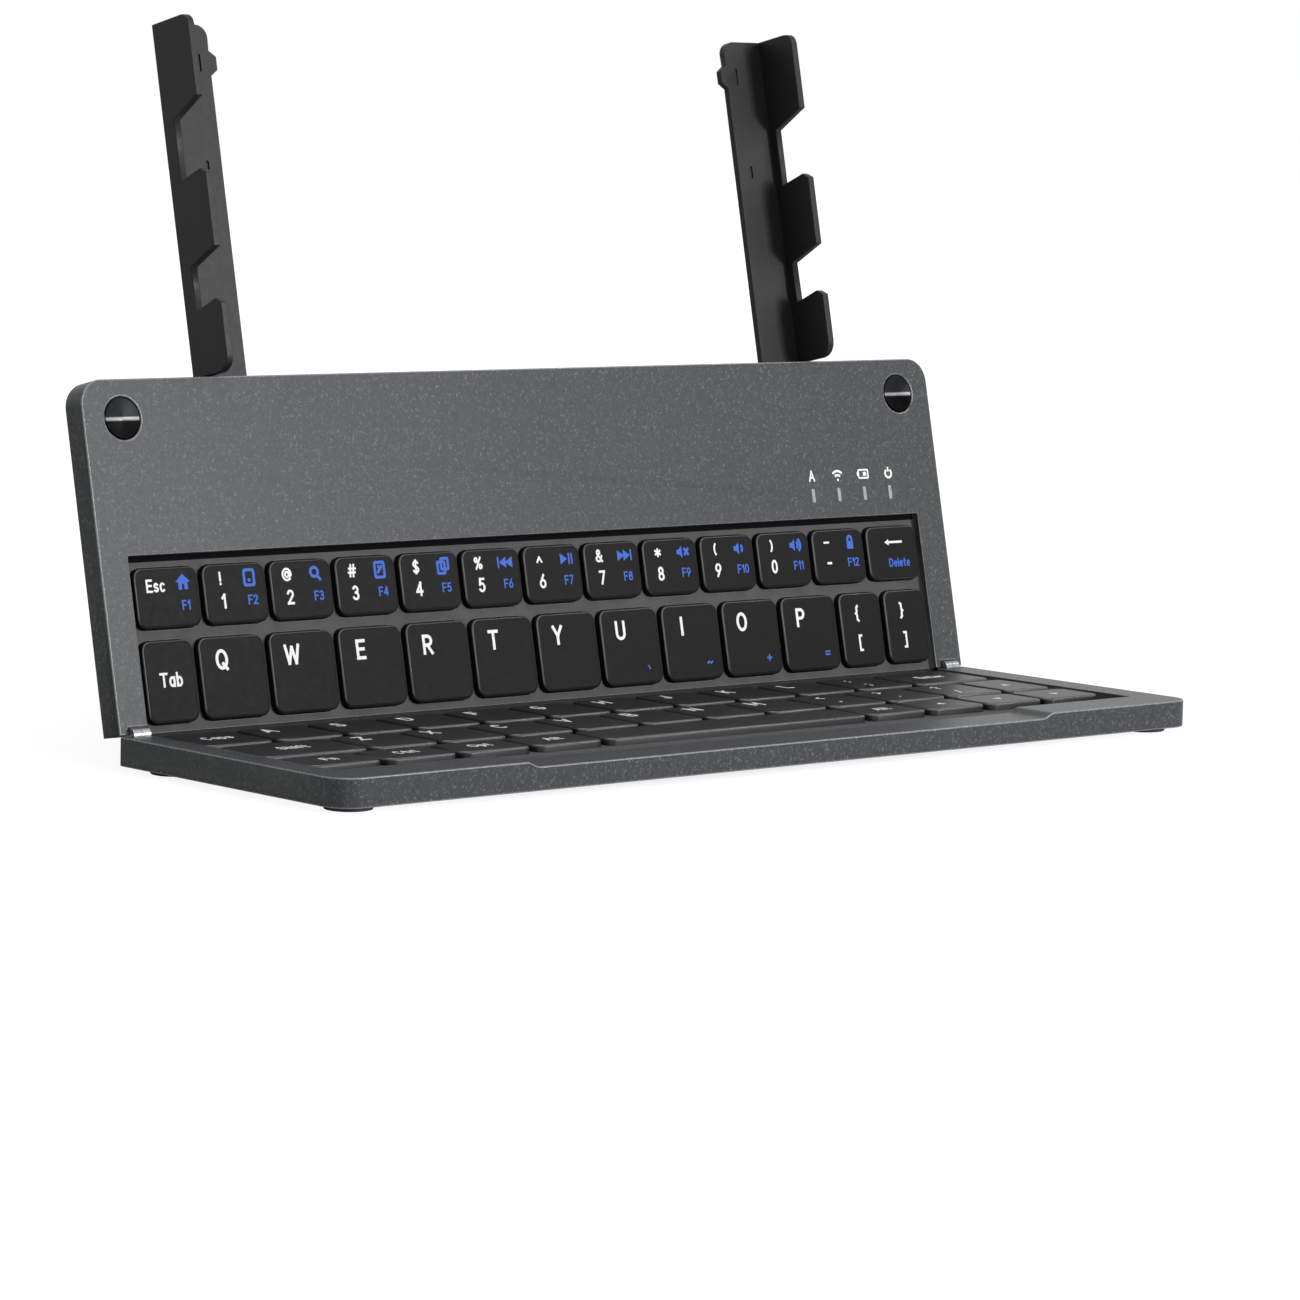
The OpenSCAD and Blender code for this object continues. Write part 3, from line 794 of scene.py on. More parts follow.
def prism(outline: np.ndarray, low: float, high: float) -> Shell:
    """Extrudes an outline between two heights.

    Args:
        outline: Points of shape (n, 2).
        low: The lower height.
        high: The upper height.

    Returns:
        The closed shell.
    """
    return loft(np.stack([at_depth(outline, -low), at_depth(outline, -high)]))


def turned(profile: Sequence[tuple[float, float]], centre: tuple[float, float], around: int = 64) -> Shell:
    """Turns a profile about an upright axis.

    A profile point at radius r and height h becomes the circle (cx + r cos a, cy + r sin a, h).

    Args:
        profile: Radii and heights, from the underside round to the top.
        centre: Where the axis stands.
        around: Points in each circle.

    Returns:
        The closed shell.
    """
    angle = np.linspace(0, 2 * math.pi, around, endpoint=False)
    radius, height = np.array(profile).T
    x = centre[0] + radius[:, None] * np.cos(angle)
    y = centre[1] + radius[:, None] * np.sin(angle)
    return loft(np.stack([x, y, np.broadcast_to(height[:, None], x.shape)], axis=-1))


def ribbon(path: np.ndarray, width: float, low: float, high: float, closed: bool = False) -> Shell:
    """Draws a flat stroke of even width along a path.

    At each point the stroke's rails stand half a width off, along the mean of the normals of the two
    segments that meet there, lengthened so that the stroke keeps its width.

    Args:
        path: Points of shape (n, 2).
        width: The stroke's width.
        low: The lower height.
        high: The upper height.
        closed: Whether the path's end joins its start.

    Returns:
        The closed shell.
    """
    step = np.roll(path, -1, axis=0) - path
    if not closed:
        step[-1] = step[-2]
    step /= np.linalg.norm(step, axis=1, keepdims=True)
    before = np.roll(step, 1, axis=0)
    if not closed:
        before[0] = step[0]
    normal = np.stack([-step[:, 1], step[:, 0]], axis=1)
    normal_before = np.stack([-before[:, 1], before[:, 0]], axis=1)
    mean = normal + normal_before
    mean /= np.maximum(np.sum(mean * normal, axis=1, keepdims=True), MITRE_LEAST)
    left, right = path + mean * width / 2, path - mean * width / 2
    rings = np.stack([at_depth(left, -low), at_depth(right, -low),
                      at_depth(right, -high), at_depth(left, -high)], axis=1)
    return loft(rings, closed)


def arc(cx: float, cy: float, radius: float, start: float, end: float, count: int = 13) -> np.ndarray:
    """Gives points along an arc.

    Args:
        cx: Middle, across.
        cy: Middle, up.
        radius: The radius.
        start: Start angle in degrees.
        end: End angle in degrees.
        count: How many points.

    Returns:
        Points of shape (count, 2).
    """
    angle = np.radians(np.linspace(start, end, count))
    return np.stack([cx + radius * np.cos(angle), cy + radius * np.sin(angle)], axis=1)


@dataclass(frozen=True, eq=False)
class Panel:
    """One of the two panels: where its flat drawing lies, and which way its legends stand."""

    name: str
    body: str
    hinge: np.ndarray
    away: np.ndarray
    outward: np.ndarray
    legend_up: int
    recess: float

    def world(self, flat: np.ndarray) -> np.ndarray:
        """Turns flat points in millimetres into metres in the frame's place.

        Args:
            flat: Points of shape (n, 3): along the hinge, away from it, and out of the key face.

        Returns:
            Points of shape (n, 3).
        """
        along = np.array([1.0, 0.0, 0.0])
        return self.hinge + MM * (flat[:, :1] * along + flat[:, 1:2] * self.away + flat[:, 2:] * self.outward)

    def flat(self, world: np.ndarray) -> np.ndarray:
        """Turns points in the frame's place into the flat drawing.

        Args:
            world: Points of shape (n, 3), in metres.

        Returns:
            Points of shape (n, 3), in millimetres.
        """
        off = (world - self.hinge) / MM
        return np.stack([off[:, 0], off @ self.away, off @ self.outward], axis=1)


def made_panels() -> tuple[Panel, Panel]:
    """Places both panels at the lid's hinge.

    Returns:
        The front panel and the back panel.
    """
    hinge = next(j for j in frame["joints"] if j["name"] == "lid_fold")["pos_m"]
    origin = np.array([0.0, hinge[1], hinge[2]])
    lean = math.radians(LEAN_DEG)
    front = Panel("front", "front_panel", origin, np.array([0.0, -1.0, 0.0]), np.array([0.0, 0.0, 1.0]),
                  -1, FRONT_RECESS)
    back = Panel("back", "back_panel", origin, np.array([0.0, math.sin(lean), math.cos(lean)]),
                 np.array([0.0, -math.cos(lean), math.sin(lean)]), 1, BACK_RECESS)
    return front, back


def finished(mesh: bpy.types.Mesh, name: str, body: str | None, finishes: Sequence[Finish]) -> bpy.types.Object:
    """Turns a mesh into a piece: normals outward, smooth where it is round, with its finishes and body.

    Args:
        mesh: The mesh, in metres.
        name: The piece's name.
        body: The body it rides on, if it rides on one.
        finishes: Its finishes, in the order of its material slots.

    Returns:
        The piece.
    """
    work = bmesh.new()
    work.from_mesh(mesh)
    bmesh.ops.recalc_face_normals(work, faces=work.faces)
    work.to_mesh(mesh)
    work.free()
    mesh.shade_smooth()
    mesh.set_sharp_from_angle(angle=math.radians(SMOOTH_DEG))
    for finish in finishes:
        mesh.materials.append(finish.material())
    piece = bpy.data.objects.new(name, mesh)
    bpy.context.scene.collection.objects.link(piece)
    if body:
        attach(piece, body)
    log.info("%s: %d faces on %s", name, len(mesh.polygons), body or "the hinge")
    return piece


def made_piece(panel: Panel, name: str, body: str | None, zones: Sequence[tuple[Finish, Shell]]) -> bpy.types.Object:
    """Makes a piece from shells drawn flat on a panel.

    Args:
        panel: The panel they are drawn on.
        name: The piece's name.
        body: The body it rides on, if it rides on one.
        zones: Each finish with its shell.

    Returns:
        The piece.
    """
    shell = joined([part for _, part in zones])
    spots = panel.world(shell.points)
    slots = np.repeat(np.arange(len(zones)), [len(part.sizes) for _, part in zones])
    mesh = bpy.data.meshes.new(name)
    mesh.vertices.add(len(spots))
    mesh.vertices.foreach_set("co", spots.ravel())
    mesh.loops.add(len(shell.corners))
    mesh.loops.foreach_set("vertex_index", shell.corners)
    mesh.polygons.add(len(shell.sizes))
    mesh.polygons.foreach_set("loop_start", np.concatenate([[0], np.cumsum(shell.sizes)[:-1]]))
    mesh.polygons.foreach_set("material_index", slots)
    mesh.update(calc_edges=True)
    mesh.validate()
    return finished(mesh, name, body, [finish for finish, _ in zones])


# --- Softened copies of the frame's nodes ---------------------------------------------------


def read(items: bpy.types.bpy_prop_collection, field_name: str, width: int, kind: type = float) -> np.ndarray:
    """Reads one field of a mesh's items as an array.

    Args:
        items: The mesh's vertices, edges, loops or polygons.
        field_name: The field.
        width: Numbers in each item's field.
        kind: float or int.

    Returns:
        An array of shape (items, width), or (items,) where width is 1.
    """
    values = np.empty(len(items) * width, dtype=np.float32 if kind is float else np.int32)
    items.foreach_get(field_name, values)
    return values.reshape(-1, width) if width > 1 else values


@dataclass(frozen=True)
class EdgeFacts:
    """What softening needs to know of each edge of a mesh, as arrays."""

    middle: np.ndarray
    length: np.ndarray
    angle: np.ndarray
    convex: np.ndarray


def edge_facts(mesh: bpy.types.Mesh) -> EdgeFacts:
    """Measures a closed mesh's edges.

    The corners are sorted by their edge, which puts the two faces of each edge side by side. The angle
    is the one between their normals, and the edge is convex where the second face's middle lies below
    the first face.

    Args:
        mesh: The mesh.

    Returns:
        The edges' middles in metres, lengths in metres, angles in radians and convexity.
    """
    ends = read(mesh.vertices, "co", 3)[read(mesh.edges, "vertices", 2, int)]
    owner = np.repeat(np.arange(len(mesh.polygons)), read(mesh.polygons, "loop_total", 1, int))
    edge_of_corner = read(mesh.loops, "edge_index", 1, int)
    order = np.argsort(edge_of_corner, kind="stable")
    count = np.bincount(edge_of_corner, minlength=len(mesh.edges))
    first = np.concatenate([[0], np.cumsum(count)[:-1]])
    one = owner[order[np.minimum(first, len(order) - 1)]]
    two = owner[order[np.minimum(first + 1, len(order) - 1)]]
    normal, centre = read(mesh.polygons, "normal", 3), read(mesh.polygons, "center", 3)
    angle = np.arccos(np.clip(np.sum(normal[one] * normal[two], axis=1), -1, 1))
    below = np.sum(normal[one] * (centre[two] - centre[one]), axis=1) < 0
    return EdgeFacts(ends.mean(axis=1), np.linalg.norm(ends[:, 1] - ends[:, 0], axis=1),
                     np.where(count == 2, angle, 0), below & (count == 2))


@dataclass(frozen=True)
class Softening:
    """How a node's copy is softened."""

    node: str
    body: str
    panel: Panel
    width: float = 0.3
    finishes: tuple[Finish, ...] = (PANEL_PAINT,)
    weight: Callable[[np.ndarray], np.ndarray] | None = None
    zone: Callable[[np.ndarray], np.ndarray] | None = None
    shortest: float = 0.5
    edge_slot: int = -1

    def make(self) -> bpy.types.Object:
        """Copies the node, joins its split corners and rounds its outer edges.

        Returns:
            The piece that stands for the node.
        """
        mesh = frame["nodes"][self.node].data.copy()
        mesh.name = f"{self.node}_soft"
        mesh.materials.clear()
        work = bmesh.new()
        work.from_mesh(mesh)
        bmesh.ops.remove_doubles(work, verts=work.verts, dist=WELD)
        bmesh.ops.dissolve_limit(work, angle_limit=math.radians(FLAT_DEG), verts=work.verts, edges=work.edges)
        bmesh.ops.recalc_face_normals(work, faces=work.faces)
        work.to_mesh(mesh)
        work.free()
        facts = edge_facts(mesh)
        flat = self.panel.flat(facts.middle)
        chosen = facts.convex & (facts.angle > math.radians(ROUNDED_DEG)) & (facts.length > self.shortest * MM)
        share = self.weight(flat) if self.weight else np.ones(len(flat))
        values = np.where(chosen, share, 0).astype(np.float32)
        mesh.attributes.new("bevel_weight_edge", "FLOAT", "EDGE").data.foreach_set("value", values)
        if self.zone:
            centres = self.panel.flat(read(mesh.polygons, "center", 3))
            mesh.polygons.foreach_set("material_index", self.zone(centres).astype(np.int32))
        else:
            mesh.polygons.foreach_set("material_index", np.zeros(len(mesh.polygons), dtype=np.int32))
        piece = finished(mesh, f"{self.node}_soft", self.body, self.finishes)
        sharp = mesh.attributes["sharp_edge"].data
        kept = np.empty(len(values), dtype=bool)
        sharp.foreach_get("value", kept)
        sharp.foreach_set("value", kept & (values == 0))
        bevel = piece.modifiers.new("soft_edges", "BEVEL")
        bevel.limit_method = "WEIGHT"
        bevel.width = self.width * MM
        bevel.segments = BEVEL_STEPS
        bevel.use_clamp_overlap = False
        # The rounded faces take the finish in this slot; on the frames it is the lighter paint, a painted highlight.
        bevel.material = self.edge_slot
        even = piece.modifiers.new("even_shading", "WEIGHTED_NORMAL")
        even.keep_sharp = True
        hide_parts(self.node)
        return piece


def frame_weight(recess: float) -> Callable[[np.ndarray], np.ndarray]:
    """Says how much each edge of a panel's frame is rounded.

    The outer edges get the whole width and the recess's rim half of it. The edges of the windows in the web get a
    third, so that they show a thin line of light, partly painted by the lighter paint that every rounded face of a
    frame gets.

    Args:
        recess: The recess's far edge.

    Returns:
        A function from edge middles in the flat drawing to shares of the width.
    """

    def weight(flat: np.ndarray) -> np.ndarray:
        """Gives each edge its share of the width.

        Args:
            flat: Edge middles in the flat drawing.

        Returns:
            The shares.
        """
        x, y, depth = flat[:, 0], flat[:, 1], -flat[:, 2]
        outside = (np.abs(x) > HALF_W - WALL_NEAR) | (y > PANEL_D - FAR_MARGIN) & (depth > FAR_DEPTH)
        face = depth < FACE_DEPTH
        inner = (x > RECESS_LEFT - RECESS_NEAR) & (x < RECESS_RIGHT + RECESS_NEAR) & (y < recess + RECESS_NEAR)
        share = np.where(face, np.where(inner, RIM_SHARE, 1.0), 0.0)
        share = np.where(inner & (depth > WEB_EDGE_TOP) & (depth < WEB_EDGE_FOOT), WINDOW_SHARE, share)
        share = np.where((depth > PANEL_T - UNDER_NEAR) & outside, 1.0, share)
        near_light = ((np.abs(y - LIGHT_Y) < LIGHT_NEAR) & (x > LIGHT_X[0] - LIGHT_NEAR)
                      & (x < LIGHT_X[-1] + LIGHT_NEAR))
        return np.where(near_light, LIGHT_SHARE, share)

    return weight


def web_zone(recess: float) -> Callable[[np.ndarray], np.ndarray]:
    """Says which faces of a frame are the recess's matt plastic.

    Args:
        recess: The recess's far edge.

    Returns:
        A function from face middles in the flat drawing to slot numbers.
    """

    def zone(flat: np.ndarray) -> np.ndarray:
        """Gives each face its slot.

        Args:
            flat: Face middles in the flat drawing.

        Returns:
            The slots.
        """
        x, y, depth = flat[:, 0], flat[:, 1], -flat[:, 2]
        inside = (x > RECESS_LEFT - ZONE_NEAR) & (x < RECESS_RIGHT + ZONE_NEAR) & (y < recess + ZONE_NEAR)
        return inside & (depth > ZONE_TOP) & (depth < ZONE_FOOT)

    return zone


def tongue_zone(flat: np.ndarray) -> np.ndarray:
    """Says which faces of the charging socket are its plastic tongue.

    Args:
        flat: Face middles in the flat drawing.

    Returns:
        The slot of each face.
    """
    across = np.abs(flat[:, 1] - TONGUE_Y) < TONGUE_HALF_W
    thick = np.abs(flat[:, 2] + TONGUE_DEPTH) < TONGUE_HALF_T
    return across & thick & (flat[:, 0] < TONGUE_END)


# --- Keys -----------------------------------------------------------------------------------


@dataclass(frozen=True)
class KeyPlace:
    """A key's outline in its panel's flat drawing."""

    x0: float
    x1: float
    y0: float
    y1: float


@dataclass(frozen=True)
class KeyRow:
    """A row of keys: its near edge, its length and its keys' gap and widths."""

    near: float
    length: float
    gap: float
    widths: tuple[float, ...]

    def place(self, index: int) -> KeyPlace:
        """Gives the outline of one key.

        Args:
            index: The key's place in the row, from the left.

        Returns:
            Its outline.
        """
        x0 = KEY_START + sum(self.widths[:index]) + index * self.gap
        return KeyPlace(x0, x0 + self.widths[index], self.near, self.near + self.length)


LETTERS = (17.1,) * 10
NUMBER_W = (ROW_W - 12 * 1.2) / 13
LETTER_ROW = KeyRow(1.9, 17.4, 1.4, (13.0, *LETTERS, 13.2, 13.2))
NUMBER_ROW = KeyRow(21.8, 12.8, 1.2, (NUMBER_W,) * 13)
HOME_ROW = KeyRow(1.9, 17.4, 1.4, (17.6, *LETTERS, 23.2))
SHIFT_ROW = KeyRow(21.8, 17.4, 1.4, (26.8, *LETTERS, 14.0))
BOTTOM_ROW = KeyRow(41.7, 12.8, 1.4, (18.2,) * 4 + (75.2,) + (17.0,) * 4)


class Icon(Enum):
    """The generic signs that are printed on the keys and above the lights."""

    HOUSE = "house"
    SCREEN = "screen"
    SEARCH = "search"
    PAGE = "page"
    PAGES = "pages"
    PREVIOUS = "previous"
    PLAY = "play"
    NEXT = "next"
    MUTE = "mute"
    QUIETER = "quieter"
    LOUDER = "louder"
    LOCK = "lock"
    BACKSPACE = "backspace"
    UP = "up"
    DOWN = "down"
    LEFT = "left"
    RIGHT = "right"
    WAVES = "waves"
    BATTERY = "battery"
    POWER = "power"


def points(*pairs: tuple[float, float]) -> np.ndarray:
    """Makes an outline from pairs of numbers.

    Args:
        pairs: The points.

    Returns:
        Points of shape (n, 2).
    """
    return np.array(pairs, dtype=float)


SPEAKER = points((-0.5, -0.15), (-0.3, -0.15), (-0.05, -0.4), (-0.05, 0.4), (-0.3, 0.15), (-0.5, 0.15))
LEFT_SIGN = points((-0.45, 0), (0.1, 0.35), (0.1, -0.35))
BAR = points((-0.06, -0.35), (0.06, -0.35), (0.06, 0.35), (-0.06, 0.35))

# Each sign's filled outlines and its strokes, in a box one unit high. A stroke says whether it closes.
ICONS: dict[Icon, tuple[list[np.ndarray], list[tuple[np.ndarray, bool]]]] = {
    Icon.HOUSE: ([points((-0.5, 0), (0, 0.45), (0.5, 0), (0.32, 0), (0.32, -0.42), (0.08, -0.42), (0.08, -0.12),
                         (-0.08, -0.12), (-0.08, -0.42), (-0.32, -0.42), (-0.32, 0))], []),
    Icon.SCREEN: ([rounded_box(-0.1, 0.1, -0.25, -0.05, 0.03, 1)],
                  [(rounded_box(-0.35, 0.35, -0.45, 0.45, 0.1, 2), True)]),
    Icon.SEARCH: ([], [(arc(-0.05, 0.1, 0.28, 0, 330, 12), True), (points((0.12, -0.12), (0.4, -0.42)), False)]),
    Icon.PAGE: ([], [(rounded_box(-0.35, 0.35, -0.45, 0.45, 0.08, 2), True),
                     (points((-0.18, -0.2), (0.2, 0.25)), False), (points((-0.15, 0.2), (0.0, 0.2)), False)]),
    Icon.PAGES: ([], [(rounded_box(-0.4, 0.15, -0.45, 0.25, 0.06, 2), True),
                      (rounded_box(-0.12, 0.42, -0.2, 0.45, 0.06, 2), True)]),
    Icon.PREVIOUS: ([LEFT_SIGN, LEFT_SIGN + (0.5, 0), BAR - (0.52, 0)], []),
    Icon.PLAY: ([LEFT_SIGN * (-1, 1) - (0.3, 0), BAR + (0.3, 0), BAR + (0.52, 0)], []),
    Icon.NEXT: ([LEFT_SIGN * (-1, 1), LEFT_SIGN * (-1, 1) - (0.5, 0), BAR + (0.52, 0)], []),
    Icon.MUTE: ([SPEAKER], [(points((0.12, -0.22), (0.5, 0.22)), False), (points((0.12, 0.22), (0.5, -0.22)), False)]),
    Icon.QUIETER: ([SPEAKER], [(arc(-0.05, 0, 0.28, -50, 50, 8), False)]),
    Icon.LOUDER: ([SPEAKER], [(arc(-0.05, 0, 0.28, -50, 50, 8), False), (arc(-0.05, 0, 0.5, -50, 50, 8), False)]),
    Icon.LOCK: ([rounded_box(-0.28, 0.28, -0.45, 0.05, 0.05, 1)],
                [(np.concatenate([points((-0.18, 0.0)), arc(0, 0.2, 0.18, 180, 0, 8), points((0.18, 0.0))]), False)]),
    Icon.BACKSPACE: ([points((-1.1, 0), (-0.6, 0.28), (-0.6, 0.1), (1.1, 0.1), (1.1, -0.1), (-0.6, -0.1),
                             (-0.6, -0.28))], []),
    Icon.UP: ([points((-0.4, -0.3), (0.4, -0.3), (0, 0.4))], []),
    Icon.DOWN: ([points((-0.4, 0.3), (0, -0.4), (0.4, 0.3))], []),
    Icon.LEFT: ([points((0.3, -0.4), (0.3, 0.4), (-0.4, 0))], []),
    Icon.RIGHT: ([points((-0.3, -0.4), (0.4, 0), (-0.3, 0.4))], []),
    Icon.WAVES: ([arc(0, -0.38, 0.1, 0, 330, 12)],
                 [(arc(0, -0.38, 0.38, 45, 135, 8), False), (arc(0, -0.38, 0.7, 45, 135, 8), False)]),
    Icon.BATTERY: ([rounded_box(-0.85, -0.7, -0.2, 0.2, 0.03, 1), rounded_box(0.0, 0.45, -0.2, 0.2, 0.03, 1)],
                   [(rounded_box(-0.62, 0.7, -0.42, 0.42, 0.1, 2), True)]),
    Icon.POWER: ([], [(arc(0, -0.05, 0.36, 125, 415, 15), False), (points((0, 0.1), (0, 0.5)), False)]),
}


def bow(cx: float, cy: float, rx: float, ry: float, start: float, end: float, count: int = 9) -> np.ndarray:
    """Gives points along part of an ellipse.

    Args:
        cx: Middle, across.
        cy: Middle, up.
        rx: Half its width.
        ry: Half its height.
        start: Start angle in degrees.
        end: End angle in degrees.
        count: How many points.

    Returns:
        Points of shape (count, 2).
    """
    return arc(0, 0, 1, start, end, count) * (rx, ry) + (cx, cy)


def oval(cx: float, cy: float, rx: float, ry: float, count: int = 24) -> np.ndarray:
    """Gives a whole ellipse, whose last point isn't its first again.

    Args:
        cx: Middle, across.
        cy: Middle, up.
        rx: Half its width.
        ry: Half its height.
        count: How many points.

    Returns:
        Points of shape (count, 2).
    """
    return bow(cx, cy, rx, ry, 0, 360 - 360 / count, count)


def pen(*parts: np.ndarray | tuple[float, float]) -> np.ndarray:
    """Joins points and arcs in one path, without a point that only repeats the one before it.

    Args:
        parts: Single points, or arrays of them.

    Returns:
        Points of shape (n, 2).
    """
    path = np.concatenate([np.atleast_2d(np.asarray(part, dtype=float)) for part in parts])
    moved = np.linalg.norm(np.diff(path, axis=0), axis=1) > 1e-6
    return path[np.concatenate([[True], moved])]


def letter(width: float, *paths: np.ndarray, rings: Sequence[np.ndarray] = ()) -> tuple:
    """Describes a letter by the middle lines of its strokes, on a baseline at 0 and with capitals 1 high.

    Args:
        width: The letter's width.
        paths: Its open strokes.
        rings: Its closed strokes.

    Returns:
        The width, the open strokes and the closed ones.
    """
    return width, paths, tuple(rings)


STROKE = 0.195
LETTER_GAP = 0.3
S_CURVE = pen(bow(0.27, 0.75, 0.25, 0.25, 25, 270, 11), bow(0.27, 0.25, 0.27, 0.25, 90, -155, 11))
P_CURVE = pen((0, 0), (0, 1), (0.28, 1), bow(0.28, 0.73, 0.27, 0.27, 90, -90), (0, 0.46))
N_ARCH = pen(bow(0.2, 0.45, 0.2, 0.23, 180, 0), (0.4, 0))
STEM, SHORT_STEM = pen((0, 0), (0, 1)), pen((0, 0), (0, 0.68))
DOT = pen((0, 0.03), (0, 0.06))
BRACE = pen((0.24, 1.1), (0.12, 1), (0.12, 0.62), (0, 0.5), (0.12, 0.38), (0.12, 0), (0.24, -0.1))
SQUARE = pen((0.22, 1.1), (0, 1.1), (0, -0.1), (0.22, -0.1))

